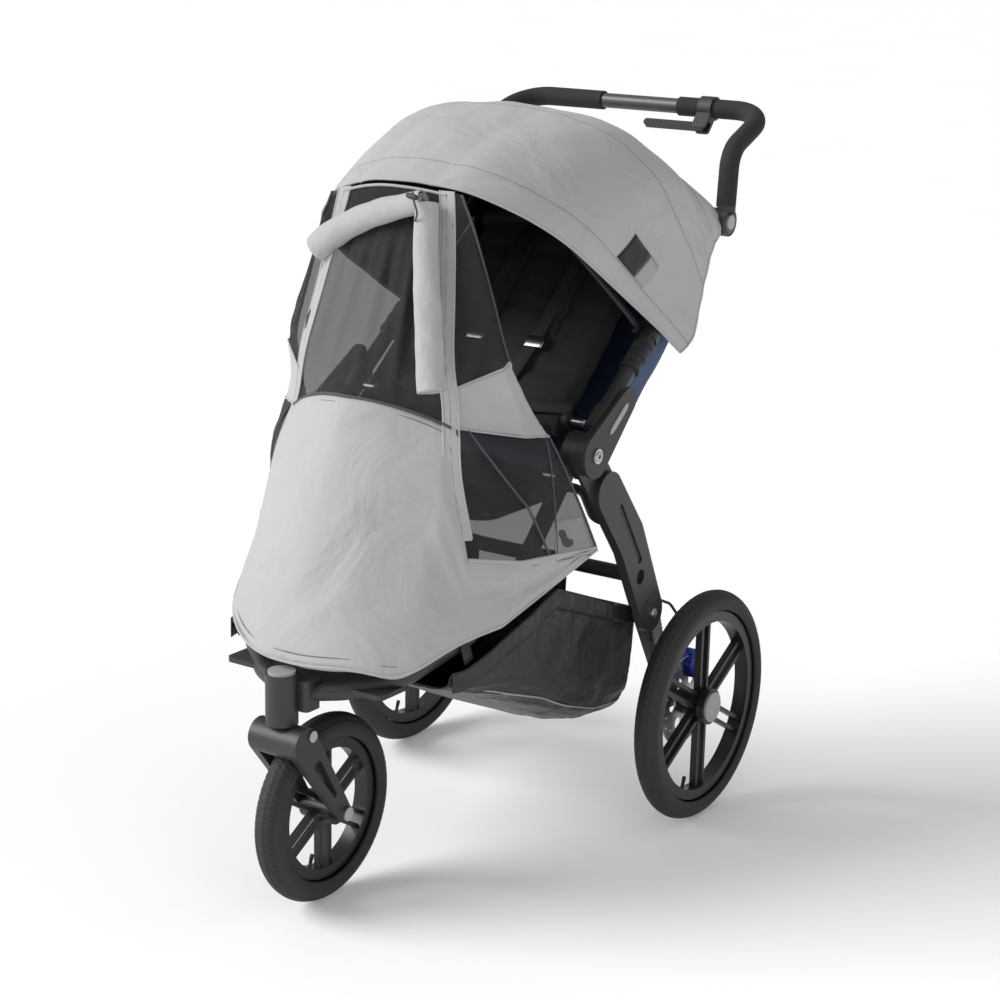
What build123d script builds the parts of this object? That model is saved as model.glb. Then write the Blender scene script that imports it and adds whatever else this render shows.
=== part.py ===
from build123d import *
import math
import os

# A three-wheel jogging stroller with its weather shield fitted. Millimetres, +Z up,
# the front faces -Y and the child's left side is +X. The origin lies on the floor
# under the middle of the whole outline.

# ---------- overall sizes ----------
wheelbase = 647.0
front_axle_y = -378.0
rear_axle_y = front_axle_y + wheelbase
rear_track_half = 305.0
slip = 0.3            # gap left between pieces that move or only rest on each other
running_fit = 0.05    # radial clearance of a pin in its bore

# ---------- wheels ----------
front_tyre_radius = 151.0
front_tyre_half = 23.0
front_rim_radius = 114.0
front_hub_half = 30.0
rear_tyre_radius = 199.0
rear_tyre_half = 21.0
rear_rim_radius = 164.0
rim_depth = 17.0
rim_half = 13.0
spoke_pairs = 6
spoke_width = 7.0
spoke_half = 6.0
spoke_offset = 11.0
hub_radius = 22.0
hub_cap_radius = 26.0
hub_cap_wall = 5.0
hub_cap_travel = 3.0
rear_hub_outer = 22.0     # outboard of the wheel centre
rear_hub_inner = 30.5     # inboard of the wheel centre
rear_axle_radius = 6.0
rotor_radius = 78.0
rotor_thickness = 2.5
rotor_holes = 24

# ---------- steering ----------
trail = 98.0
steer_y = front_axle_y - trail
head_bottom = 319.0
head_top = 398.0
head_radius = 25.0
head_bore = 17.0
stem_radius = 12.0
lock_radius = 21.0
lock_height = 14.0
lock_travel = 4.0
fork_leg_inner = 32.0
fork_leg_thickness = 14.0
fork_tyre_gap = 5.0
front_axle_radius = 5.0
release_radius = 9.0
release_travel = 3.0

# ---------- frame ----------
arm_radius = 14.0
arm_x = 232.0
hub_y = -40.0
hub_z = 690.0
hub_disc_radius = 34.0
hub_pin_radius = 7.0
disc_thickness = 13.0
arm_disc_x = arm_x - 6.0
leg_x = arm_disc_x + disc_thickness + slip
leg_thickness = 24.0
upper_disc_x = leg_x + disc_thickness + slip
joint_cover_x = upper_disc_x + disc_thickness
cover_thickness = 6.0
tube_x = 240.0
tube_radius = 13.0
handle_y = 366.0
handle_z = 1011.0
knee_y = 92.0
knee_z = 524.0
swing_y = 165.0
swing_z = 382.0
swing_radius = 19.0
swing_x = 236.0
swing_thickness = 13.0
housing_x = swing_x + swing_thickness + slip
housing_thickness = 15.0
swing_pin_radius = 6.0
cross_tube_radius = 12.5
brace_radius = 8.0

# ---------- handlebar ----------
bar_y = 514.0
bar_z = 1180.0
bar_radius = 13.0
grip_radius = 16.5
grip_side_x = 255.0
handle_bends = (50.0, 62.0, 62.0, 50.0)
centre_half = 78.0
joint_radius = 24.0
handle_button_radius = 12.0
handle_button_travel = 3.0
lever_x = 135.0
lever_length = 105.0

# ---------- seat ----------
seat_half = arm_x - arm_radius - slip
board_z = 622.0
board_thickness = 10.0
cushion_thickness = 28.0
seat_front_y = -262.0
seat_rear_y = -2.0
back_y = 14.0
back_z = 668.0
back_angle = 46.5
back_length = 450.0
back_thickness = 26.0
recline_reach = 58.0
back_half = 190.0

# ---------- canopy and weather shield ----------
cloth = 3.0
lining = 1.6
canopy_y = 165.0
canopy_z = 850.0
hood_half = 262.0
hood_corner = 105.0
hood_root = 60.0
collar_wall = 3.0
bow_half = tube_x - tube_radius - collar_wall - slip
bow_width = 10.0
bow_depth = 5.0
# (angle above the rearward horizontal, height of the arch over the canopy pivot)
hood_arches = ((145, 450), (128, 402), (110, 368), (92, 352), (72, 325), (52, 292))
canopy_front_y = -194.0
front_bow_angle = 140
rear_bow_angle = 55
waist_z = 770.0
# (height, half width, front, rear edge) of the apron, from the waist down
apron_rings = ((waist_z, 225, -338, -152), (700, 249.3, -367, -106), (500, 249.3, -445, 24),
               (400, 238, -474, 90))
window_rings = ((waist_z, 225, -338, -152), (854, 214, -302, -195), (1105.9, 150, -204.2, -198))
hem_front = (-480.0, 415.0)
hem_slope = 12.8
front_corner = 62.0

os.makedirs("parts", exist_ok=True)
nodes = {}


# ---------- helpers ----------
def side_plane(x):
    """The plane at x whose local axes are +Y and +Z."""
    return Plane(origin=(x, 0, 0), x_dir=(0, 1, 0), z_dir=(1, 0, 0))


def rod_x(x0, x1, y, z, radius):
    """A cylinder along X between x0 and x1."""
    face = side_plane(min(x0, x1)) * Pos(y, z) * Circle(radius)
    return extrude(face, abs(x1 - x0))


def rod(start, end, radius):
    """A cylinder between two points."""
    a, b = Vector(start), Vector(end)
    return extrude(Plane(origin=a, z_dir=b - a) * Circle(radius), (b - a).length)


def link(x0, thickness, *discs):
    """A plate from x0 whose outline wraps neighbouring discs, each given as (y, z, radius)."""
    outline = Sketch()
    for first, second in zip(discs, discs[1:]):
        pair = [Pos(y, z) * Circle(r) for y, z, r in (first, second)]
        outline += make_hull((pair[0] + pair[1]).edges())
    return extrude(side_plane(x0) * outline, thickness)


def bent_tube(points, radii, radius):
    """A round tube along straight runs joined by tangent arcs."""
    path = FilletPolyline(*points, radius=radii)
    return sweep(Plane(origin=path @ 0, z_dir=path % 0) * Circle(radius), path=path)


def mirrored(shape):
    """The same piece on the child's right side."""
    return mirror(shape, about=Plane.YZ)


def pair(name, shape):
    """Store a piece and its mirror image as two nodes."""
    nodes[name + "_left"] = shape
    nodes[name + "_right"] = mirrored(shape)


def both(shape):
    """A piece and its mirror image as separate solids of one node."""
    return Compound(children=[*shape.solids(), *mirrored(shape).solids()])


def save(name, shape):
    solids = shape.solids()
    export_step(solids[0] if len(solids) == 1 else Compound(children=solids), f"parts/{name}.step")


# ---------- wheels ----------
def wheel_tyre(x, y, z, outer, half, rim):
    """A round tyre with its beads seated on the rim."""
    crown = Pos(outer - half, 0) * Circle(half)
    bead = Pos((rim + outer - half) / 2, 0) * Rectangle(outer - half - rim, 2 * rim_half)
    below = Pos(rim / 2, 0) * Rectangle(rim, 4 * half)
    ring = revolve(Plane.XZ * (crown + bead - below), Axis.Z)
    return Pos(x, y, z) * Rot(0, 90, 0) * ring


def wheel_rim(x, y, z, rim, hub_in, hub_out, bore):
    """A cast rim: band, parallel pairs of spokes and a bored hub."""
    band = Pos(rim - rim_depth / 2, 0) * Rectangle(rim_depth, 2 * rim_half)
    wheel = revolve(Plane.XZ * band, Axis.Z)
    spoke_length = rim - rim_depth / 2
    spoke = Pos(spoke_length / 2, spoke_offset, 0) * Box(spoke_length, spoke_width, 2 * spoke_half)
    spokes = [Rot(0, 0, 360 * i / spoke_pairs) * s
              for i in range(spoke_pairs) for s in (spoke, mirror(spoke, about=Plane.XZ))]
    hub = Pos(0, 0, -hub_in) * extrude(Circle(hub_radius), hub_in + hub_out)
    wheel = wheel + spokes + hub
    wheel -= Pos(0, 0, -hub_in - 1) * extrude(Circle(bore), hub_in + hub_out + 2)
    return Pos(x, y, z) * Rot(0, 90, 0) * wheel


def make_rear_wheel():
    centre = (rear_track_half, rear_axle_y, rear_tyre_radius)
    y, z = centre[1:]
    outer = rear_track_half + rear_hub_outer
    rim = wheel_rim(*centre, rear_rim_radius, rear_hub_inner, rear_hub_outer,
                    rear_axle_radius + running_fit)
    flange_depth = hub_cap_travel + hub_cap_wall
    rim += rod_x(outer - flange_depth - hub_cap_wall, outer, y, z, hub_cap_radius + hub_cap_wall)
    rim -= rod_x(outer - flange_depth, outer + 1, y, z, hub_cap_radius + slip)
    rim -= rod_x(rear_track_half - rear_hub_inner - 1, outer, y, z, rear_axle_radius + running_fit)
    cap = rod_x(outer - hub_cap_wall, outer + hub_cap_travel + 1, y, z, hub_cap_radius)
    rotor_x = rear_track_half - rear_hub_inner - rotor_thickness
    rotor = rod_x(rotor_x, rotor_x + rotor_thickness, y, z, rotor_radius)
    rotor -= rod_x(rotor_x - 1, rotor_x + rotor_thickness + 1, y, z, rear_axle_radius + 6)
    holes = [Rot(0, 0, 360 * i / rotor_holes) * Pos(rotor_radius - 9 - 7 * (i % 2), 0) * Circle(3)
             for i in range(rotor_holes)]
    windows = [Rot(0, 0, 360 * i / spoke_pairs) * Pos(rotor_radius * 0.52, 0) * Circle(10)
               for i in range(spoke_pairs)]
    face = side_plane(rotor_x - 1) * Pos(y, z) * (Sketch() + holes + windows)
    rotor -= extrude(face, rotor_thickness + 2)
    pair("rear_tyre", wheel_tyre(*centre, rear_tyre_radius, rear_tyre_half, rear_rim_radius))
    pair("rear_rim", rim)
    pair("hub_button", cap)
    pair("brake_rotor", rotor)


def make_front_wheel():
    centre = (0, front_axle_y, front_tyre_radius)
    nodes["front_tyre"] = wheel_tyre(*centre, front_tyre_radius, front_tyre_half, front_rim_radius)
    nodes["front_rim"] = wheel_rim(*centre, front_rim_radius, front_hub_half, front_hub_half,
                                   front_axle_radius + running_fit)


# ---------- steering ----------
def make_fork():
    leg_outer = fork_leg_inner + fork_leg_thickness
    axle = (front_axle_y, front_tyre_radius)
    shoulder = (steer_y + 2, head_bottom - slip - 27)
    leg = link(fork_leg_inner, fork_leg_thickness, (*shoulder, 27), (*axle, 14))
    slot_top = (shoulder[0] * 0.70 + axle[0] * 0.30, shoulder[1] * 0.70 + axle[1] * 0.30, 9)
    slot_low = (shoulder[0] * 0.28 + axle[0] * 0.72, shoulder[1] * 0.28 + axle[1] * 0.72, 4)
    leg -= link(fork_leg_inner - 1, fork_leg_thickness + 2, slot_top, slot_low)
    crown = rod_x(-fork_leg_inner, fork_leg_inner, *shoulder, 27)
    crown -= rod_x(-leg_outer, leg_outer, *axle, front_tyre_radius + fork_tyre_gap)
    fork = leg + mirrored(leg) + crown
    fork -= rod_x(-leg_outer - 1, leg_outer + 1, *axle, front_axle_radius)
    button_y, button_z = shoulder[0] + 12, shoulder[1] + 12
    pocket = release_travel + 4
    fork -= rod_x(leg_outer - pocket, leg_outer + 1, button_y, button_z, release_radius + slip)
    nodes["front_fork"] = fork
    nodes["wheel_release_button"] = rod_x(leg_outer - 3, leg_outer + release_travel + 1,
                                          button_y, button_z, release_radius)
    shaft = rod_x(-leg_outer, leg_outer, *axle, front_axle_radius)
    for side in (-1, 1):
        shaft += rod_x(side * leg_outer, side * (leg_outer + 6), *axle, 11)
    nodes["front_axle"] = shaft
    stem_top = head_top - lock_height - 2
    stem_low = head_bottom - slip
    nodes["steering_stem"] = Pos(0, steer_y, stem_low) * extrude(Circle(stem_radius), stem_top - stem_low)


def make_head():
    head = Pos(0, steer_y, head_bottom) * extrude(Circle(head_radius), head_top - head_bottom)
    yoke = Pos(0, steer_y + head_radius, head_bottom + 22) * extrude(Rectangle(84, 36), 48)
    yoke = fillet(yoke.edges().filter_by(Axis.Z), 8)
    head += yoke
    head -= Pos(0, steer_y, head_bottom - 1) * extrude(Circle(head_bore), head_top - head_bottom + 2)
    recess = lock_height - 1
    head -= Pos(0, steer_y, head_top - recess) * extrude(Circle(lock_radius + slip), recess + 1)
    nodes["head_tube"] = head - nodes["front_arm_left"] - nodes["front_arm_right"]
    ring = Circle(head_bore) - Circle(stem_radius + running_fit)
    low, high = head_bottom + 3, head_top - lock_height - 10
    nodes["headset_bearings"] = Compound(children=[
        *(Pos(0, steer_y, low) * extrude(ring, 8)).solids(),
        *(Pos(0, steer_y, high) * extrude(ring, 8)).solids()])
    nodes["swivel_lock_button"] = Pos(0, steer_y, head_top - lock_height + lock_travel + 2) * extrude(
        Circle(lock_radius), lock_height - lock_travel + 3)


# ---------- frame ----------
def make_arms():
    arm = bent_tube(((28, steer_y + 28, 366), (80, steer_y + 52, 372), (150, -366, 394),
                     (206, -285, 448), (arm_x, -180, hub_z - 140 / 0.933),
                     (arm_x, hub_y - 14, hub_z - 15)), (70, 90, 110, 120), arm_radius)
    disc = rod_x(arm_disc_x, arm_disc_x + disc_thickness, hub_y, hub_z, hub_disc_radius)
    trim = rod_x(arm_disc_x + disc_thickness, arm_x + 2 * arm_radius, hub_y, hub_z, hub_disc_radius + 8)
    arm = arm - trim + disc
    bore = rod_x(arm_x - 2 * arm_radius, upper_disc_x, hub_y, hub_z, hub_pin_radius)
    pair("front_arm", arm - bore)
    pin = rod_x(arm_disc_x, joint_cover_x + cover_thickness, hub_y, hub_z, hub_pin_radius)
    pin += rod_x(joint_cover_x + cover_thickness, joint_cover_x + cover_thickness + 3,
                 hub_y, hub_z, hub_pin_radius + 5)
    nodes["fold_pins"] = both(pin)


def make_footrest():
    plate = Pos(0, steer_y + 84, 372) * extrude(Rectangle(300, 76), 8)
    plate = fillet(plate.edges().filter_by(Axis.Z), 10)
    nodes["footrest"] = (plate - nodes["front_arm_left"] - nodes["front_arm_right"]).solids().sort_by(
        SortBy.VOLUME)[-1]


def make_rear_legs():
    housing_radius = 33.0
    outside = arm_x + arm_radius + slip
    leg = link(outside, leg_x + leg_thickness - outside, (hub_y + 58, hub_z - 73, 35),
               (knee_y, knee_z, 36), (swing_y, swing_z, housing_radius))
    near_hub = rod_x(leg_x, leg_x + disc_thickness, hub_y, hub_z, hub_disc_radius + 7)
    hub_end = near_hub & link(leg_x, disc_thickness, (hub_y, hub_z, hub_disc_radius),
                              (hub_y + 58, hub_z - 73, 35))
    hub_end += link(outside, leg_x + disc_thickness - outside, (hub_y, hub_z, hub_disc_radius),
                    (hub_y + 58, hub_z - 73, 35))
    clear_upper = rod_x(upper_disc_x - slip, leg_x + leg_thickness + 1, hub_y, hub_z,
                        hub_disc_radius + 6)
    leg = hub_end + (leg - clear_upper)
    groove = link(leg_x + leg_thickness - 3, 4, (hub_y + 92, hub_z - 105, 7), (knee_y + 26, knee_z - 40, 6))
    leg -= groove
    arm_room = rod_x(swing_x - 1, housing_x, swing_y, swing_z, housing_radius + 20)
    leg -= arm_room
    leg += rod_x(leg_x + leg_thickness - 1, housing_x + housing_thickness, swing_y, swing_z,
                 housing_radius - 2)
    leg -= rod_x(leg_x - 1, upper_disc_x + 1, hub_y, hub_z, hub_pin_radius + running_fit)
    leg -= rod_x(housing_x - 1, housing_x + 40, swing_y, swing_z, swing_pin_radius)
    leg -= rod_x(0, 400, *cross_tube_place(), cross_tube_radius)
    leg -= rod_x(0, leg_x + 12, knee_y - 26, knee_z + 31, brace_radius)
    pair("rear_leg", leg)
    pin = rod_x(swing_x - 2, housing_x + housing_thickness, swing_y, swing_z, swing_pin_radius)
    pin += rod_x(housing_x + housing_thickness, housing_x + housing_thickness + 3, swing_y, swing_z, 10)
    nodes["swing_pins"] = both(pin)
    end = housing_x + 6
    nodes["rear_cross_tube"] = rod_x(-end, end, *cross_tube_place(), cross_tube_radius)
    low, high = (knee_y - 26, knee_z + 31), (knee_y + 24, knee_z + 60)
    nodes["leg_brace"] = bent_tube(((-leg_x - 12, *low), (-205, *low), (-150, *high), (150, *high),
                                    (205, *low), (leg_x + 12, *low)), (40, 40, 40, 40), brace_radius)


def cross_tube_place():
    """The tube between the two legs, just above and ahead of the swing pivots."""
    return knee_y + 30, knee_z - 70


def make_pedal():
    y, z = cross_tube_place()
    collar = rod_x(-150, -118, y, z, cross_tube_radius + 5)
    blade = extrude(RectangleRounded(30, 78, 6), 7)
    blade = Pos(-134, y + 46, z - 20) * Rot(-28, 0, 0) * blade
    bore = rod_x(-151, -117, y, z, cross_tube_radius + running_fit)
    nodes["parking_brake_pedal"] = collar + blade - bore


def make_swing_arms():
    axle = (rear_axle_y, rear_tyre_radius)
    caliper = (rear_axle_y + 22, rear_tyre_radius + 62)
    arm = link(swing_x, swing_thickness, (swing_y, swing_z, swing_radius), (*axle, 18), (*caliper, 13))
    rotor_x = rear_track_half - rear_hub_inner - rotor_thickness
    arm += rod_x(swing_x + 1, rotor_x - 1, *axle, 14)
    hub_outer = rear_track_half + rear_hub_outer - hub_cap_travel - hub_cap_wall
    arm += rod_x(swing_x + 1, hub_outer - 1, *axle, rear_axle_radius)
    arm -= rod_x(swing_x - 1, housing_x, swing_y, swing_z, swing_pin_radius + running_fit)
    pair("swing_arm", arm)
    face = swing_x + swing_thickness
    block = extrude(side_plane(face) * Pos(*caliper) * Rot(0, 0, 20) * RectangleRounded(46, 34, 8), 36)
    slot = rod_x(rotor_x - 1, rotor_x + rotor_thickness + 1, *axle, rotor_radius + 3)
    pair("brake_caliper", block - slot)
    cable_x = swing_x + swing_thickness / 2
    route = ((face + 8, caliper[0] + 6, caliper[1] + 15.4), (face + 5, caliper[0] + 14, caliper[1] + 52),
             (cable_x, caliper[0] - 30, caliper[1] + 108), (cable_x, swing_y + 52, swing_z + 6),
             (cable_x, swing_y + swing_radius - 0.5, swing_z + 2))
    cable = bent_tube(route, (28, 30, 60), 2.5)
    pair("brake_cable", cable - nodes["swing_arm_left"] - nodes["brake_caliper_left"])


def make_upper_frame():
    slope = math.atan2(handle_z - hub_z, handle_y - hub_y)
    along = Vector(0, math.cos(slope), math.sin(slope))
    hub = Vector(tube_x, hub_y, hub_z)
    pivot = Vector(tube_x, handle_y, handle_z)
    disc = rod_x(upper_disc_x, joint_cover_x, hub_y, hub_z, hub_disc_radius)
    tube = rod((hub + along * (hub_disc_radius + 4)),
               (pivot - along * (joint_radius - 6)), tube_radius)
    neck_mid = hub + along * 62
    neck = link(upper_disc_x, disc_thickness, (hub_y, hub_z, hub_disc_radius),
                (neck_mid.Y, neck_mid.Z, tube_radius + 5))
    socket = rod((hub + along * (hub_disc_radius + 10)), (hub + along * 92),
                 tube_radius + 4)
    room = rod_x(arm_disc_x - 20, upper_disc_x - slip, hub_y, hub_z, hub_disc_radius + 9)
    end = rod_x(tube_x - tube_radius, tube_x + 7, handle_y, handle_z, joint_radius - 2)
    collar = rod((Vector(tube_x, canopy_y, canopy_z) - along * 14),
                 (Vector(tube_x, canopy_y, canopy_z) + along * 14), tube_radius + collar_wall)
    post = rod_x(bow_half - 16, tube_x, canopy_y, canopy_z, 6)
    shape = (tube + socket - room) + neck + disc + end + collar + post
    shape -= rod_x(upper_disc_x - 1, joint_cover_x + 1, hub_y, hub_z, hub_pin_radius + running_fit)
    shape -= rod_x(tube_x - tube_radius - 1, tube_x + 8, handle_y, handle_z, 6 + running_fit)
    shape -= rod_x(tube_x + 7, tube_x + tube_radius + 1, handle_y, handle_z, joint_radius + 2)
    pair("upper_tube", shape)
    far = hub + along * 118
    cover = link(joint_cover_x, cover_thickness, (hub_y, hub_z, hub_disc_radius + 2),
                 (far.Y, far.Z, tube_radius + 8))
    cover -= rod_x(joint_cover_x - 1, joint_cover_x + 20, hub_y, hub_z, hub_pin_radius + running_fit)
    nodes["joint_covers"] = both(cover)


# ---------- handlebar ----------
def handle_axes():
    """Unit vectors of the handle: from the bar towards its pivots, and square to the loop."""
    drop = Vector(0, handle_y - bar_y, handle_z - bar_z).normalized()
    return drop, Vector(0, drop.Z, -drop.Y)


def make_handlebar():
    lower = Vector(grip_side_x, handle_y + 3, handle_z + joint_radius + 2)
    bend = Vector(grip_side_x - 2, handle_y + 14, handle_z + 116)
    corner = Vector(grip_side_x - 8, bar_y, bar_z)
    half = (lower, bend, corner)
    points = [*half, *(Vector(-p.X, p.Y, p.Z) for p in reversed(half))]
    nodes["handle_tube"] = bent_tube(points, handle_bends, bar_radius)
    sleeve = bent_tube(points, handle_bends, grip_radius)
    sleeve -= nodes["handle_tube"]
    middle = Pos(0, bar_y, bar_z) * Box(2 * centre_half, 80, 80)
    nodes["handle_grips"] = Compound(children=(sleeve - middle).solids())
    joint_x = tube_x + 7 + slip
    joint_end = joint_x + 18
    joint = rod_x(joint_x, joint_end, handle_y, handle_z, joint_radius)
    socket = rod(lower, (lower - (bend - lower).normalized() * 10), grip_radius)
    trim = rod_x(0, joint_x, handle_y, handle_z, joint_radius + 3)
    joint += socket - trim
    joint += rod_x(tube_x - tube_radius, joint_end, handle_y, handle_z, 6)
    pocket = handle_button_travel + 4
    joint -= rod_x(joint_end - pocket, joint_end + 20, handle_y, handle_z, handle_button_radius + slip)
    nodes["handle_joints"] = both(joint)
    pair("handle_button", rod_x(joint_end - 3, joint_end + handle_button_travel + 0.5,
                                handle_y, handle_z, handle_button_radius))


def make_brake_lever():
    drop, square = handle_axes()
    bar = Vector(0, bar_y, bar_z)
    at = Vector(lever_x, 0, 0)
    pin = bar + at + drop * 40
    clamp = rod_x(lever_x - 13, lever_x + 13, bar_y, bar_z, grip_radius + 4)
    ear_plane = Plane(origin=bar + at + drop * 27 - square * 11, x_dir=(1, 0, 0), z_dir=square)
    ears = extrude(ear_plane * RectangleRounded(26, 40, 5), 22)
    gap_plane = Plane(origin=pin + drop * 4 - square * 6, x_dir=(1, 0, 0), z_dir=square)
    gap = extrude(gap_plane * Rectangle(60, 28 + 2 * slip), 12)
    bore = rod_x(lever_x - 14, lever_x + 14, bar_y, bar_z, grip_radius)
    bracket = clamp + ears - gap - bore
    bracket += rod((pin - square * 11), (pin + square * 11), 3)
    nodes["brake_bracket"] = bracket
    blade_plane = Plane(origin=pin - square * 5.5, x_dir=(1, 0, 0), z_dir=square)
    blade = Pos(-lever_length / 2, 0) * RectangleRounded(lever_length + 14, 12, 5)
    lever = extrude(blade_plane * blade, 11)
    lever -= rod((pin - square * 9), (pin + square * 9), 3 + running_fit)
    nodes["brake_lever"] = lever


# ---------- seat ----------
def back_frame():
    """Plane of the seat back: local X across, local Y up the back, Z towards the child."""
    angle = math.radians(back_angle)
    return Plane(origin=(0, back_y, back_z), x_dir=(1, 0, 0),
                 z_dir=(0, -math.sin(angle), math.cos(angle)))


def recline_pivot():
    """The seat back tips about this point on the upper tubes, a little way up from the hub."""
    slope = math.atan2(handle_z - hub_z, handle_y - hub_y)
    return hub_y + recline_reach * math.cos(slope), hub_z + recline_reach * math.sin(slope)


def make_seat():
    depth = seat_rear_y - seat_front_y
    middle = (seat_rear_y + seat_front_y) / 2
    board = Pos(0, middle, board_z) * extrude(RectangleRounded(2 * seat_half, depth, 30), board_thickness)
    nodes["seat_board"] = board
    top = board_z + board_thickness
    cushion = Pos(0, middle, top) * extrude(RectangleRounded(2 * back_half, depth - 10, 28),
                                            cushion_thickness)
    cushion = fillet(cushion.edges().group_by(Axis.Z)[-1], 8)
    notch = Pos(0, seat_front_y + 18, top) * Box(60, 36, 4 * cushion_thickness)
    nodes["seat_cushion"] = cushion - notch
    nodes["harness_buckle"] = Pos(0, seat_front_y + 20, top) * extrude(RectangleRounded(46, 18, 5), 80)
    plane = back_frame()
    slab = extrude(plane * Pos(0, back_length / 2) * RectangleRounded(2 * back_half, back_length, 40),
                   back_thickness)
    pivot_y, pivot_z = recline_pivot()
    root = plane.from_local_coords(Vector(0, back_half * 0.2, back_thickness / 2))
    ear = link(back_half - 8, 8, (pivot_y, pivot_z, 12), (root.Y, root.Z, 12))
    ear += rod_x(back_half - 8, tube_x - tube_radius - 4 - slip, pivot_y, pivot_z, 6)
    nodes["seat_back"] = slab + ear + mirrored(ear)
    pad = Pos(62, back_length * 0.62, back_thickness) * extrude(RectangleRounded(48, 190, 14), 11)
    nodes["shoulder_pads"] = plane * both(pad)


def make_seat_shell():
    """The cloth bucket that hangs between the upper tubes behind the seat back."""
    wall = 2.5
    half = tube_x - tube_radius - slip
    rail = ((-2, 700), (346, 985))
    belly = ((372, 955), (340, 893), (285, 832), (228, 773), (165, 720), (100, 672), (55, 642), (6, 634))
    outline = make_face(Polyline(*rail, *belly, close=True))
    inner = offset(outline, amount=-wall)
    shell = extrude(side_plane(-half) * outline, 2 * half)
    lift = Pos(0, -wall * 1.6, wall * 1.6)
    hollow = extrude(side_plane(-half + wall) * inner, 2 * (half - wall))
    shell -= hollow + lift * hollow
    nodes["seat_shell"] = shell.solids().sort_by(SortBy.VOLUME)[-1]


# ---------- canopy and weather shield ----------
def arch(angle, half, height, corner):
    """A face across the stroller in the plane that leaves the canopy pivot at this angle."""
    turn = math.radians(angle)
    plane = Plane(origin=(0, canopy_y, canopy_z), x_dir=(1, 0, 0),
                  z_dir=(0, -math.sin(turn), math.cos(turn)))
    face = Pos(0, (height + hood_root) / 2) * Rectangle(2 * half, height - hood_root)
    return plane, fillet(face.vertices().group_by(Axis.Y)[-1], corner)


def dome(half, drop, first, last):
    """The solid under the arches, with the stated arches as its ends."""
    faces = []
    for angle, height in hood_arches[first:last]:
        plane, face = arch(angle, half, height - drop, hood_corner - drop)
        faces.append(plane * face)
    return loft(faces, ruled=True)


def hood_height(angle):
    """Height of the hood's arch at any angle between the listed ones."""
    for (a, ha), (b, hb) in zip(hood_arches, hood_arches[1:]):
        if b <= angle <= a:
            return hb + (ha - hb) * (angle - b) / (a - b)
    raise ValueError(angle)


def make_shell(half, drop, thickness):
    """A cloth dome open at the front, the rear and along its bottom edges."""
    outer = dome(half, drop, 0, len(hood_arches))
    inner = dome(half - thickness, drop + thickness, 0, len(hood_arches))
    cuts = []
    for end, direction in ((0, 1), (-1, -1)):
        angle, height = hood_arches[end]
        plane, face = arch(angle, half - thickness, height - drop - thickness,
                           hood_corner - drop - thickness)
        cuts.append(extrude(plane * face, direction * 5, both=True))
    below = rod_x(-half - 1, half + 1, canopy_y, canopy_z, hood_root + 1)
    return outer - inner - cuts - below


def make_canopy():
    hood = make_shell(hood_half, 0, cloth)
    flap = make_face(Polyline((96, 898), (62, 922), (-40, 992), (40, 985), (140, 945), (250, 975),
                              (276, 992), (336, 1000), (291, 838), (227, 812), close=True))
    side = extrude(side_plane(hood_half - cloth) * flap, cloth)
    nodes["shield_hood"] = hood + side + mirrored(side)
    gap = 0.6
    fabric = make_shell(hood_half - cloth - gap, cloth + gap, lining)
    nodes["canopy_fabric"] = fabric & Pos(0, canopy_front_y + 500, canopy_z) * Box(600, 1000, 1000)
    under = cloth + gap + lining + slip
    inside = dome(hood_half - under, under, 0, len(hood_arches))
    make_bow("canopy_bow_front", front_bow_angle, bow_half, inside)
    make_bow("canopy_bow_rear", rear_bow_angle, bow_half - bow_depth - slip, inside)


def make_bow(name, angle, half, inside):
    """A flat bow that arches under the canopy cloth between its two hubs."""
    top = hood_height(angle)
    corner = hood_corner - 30
    plane, outer = arch(angle, half, top, corner)
    inner = arch(angle, half - bow_depth, top - cloth - 4 - 2 * bow_depth, corner - bow_depth)[1]
    ring = extrude(plane * (outer - inner), bow_width / 2, both=True) & inside
    legs = [Pos(s * (half - bow_depth / 2), hood_root / 2 + 8) * Rectangle(bow_depth, hood_root)
            for s in (-1, 1)]
    bow = ring + extrude(plane * (Sketch() + legs), bow_width / 2, both=True)
    for side in (-1, 1):
        bow += rod_x(side * (half - bow_depth), side * half, canopy_y, canopy_z, 13)
    bow -= rod_x(-bow_half - 1, bow_half + 1, canopy_y, canopy_z, 6 + running_fit)
    nodes[name] = bow


def ring_face(z, half, front, rear, corner):
    """A level face of the shield: straight sides and a rounded front."""
    face = Pos(0, (front + rear) / 2) * Rectangle(2 * half, rear - front)
    return Pos(0, 0, z) * fillet(face.vertices().group_by(Axis.Y)[0], corner)


def open_wrap(rings):
    """A cloth wrap round the front, open behind."""
    outer, inner = [], []
    for z, half, front, rear in rings:
        corner = min(front_corner, 0.8 * (rear - front))
        outer.append(ring_face(z, half, front, rear, corner))
        inner.append(ring_face(z, half - cloth, front + cloth, rear + 40, corner - cloth))
    return loft(outer, ruled=True) - loft(inner, ruled=True)


def make_shield_front():
    apron = open_wrap(tuple(reversed(apron_rings)))
    cutter = Pos(0, hem_front[0], hem_front[1]) * Rot(hem_slope, 0, 0) * Pos(0, 300, -150) * Box(
        700, 900, 300)
    nodes["shield_apron"] = (apron - cutter).solids().sort_by(SortBy.VOLUME)[-1]
    nodes["shield_window"] = open_wrap(window_rings)
    roll = rod((-150, -229.6, 1075), (100, -229.6, 1075), 12)
    hanging = rod((108, -238.7, 1050), (150, -324.7, 830), 11)
    nodes["flap_roll"] = Compound(children=[*roll.solids(), *hanging.solids()])


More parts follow.
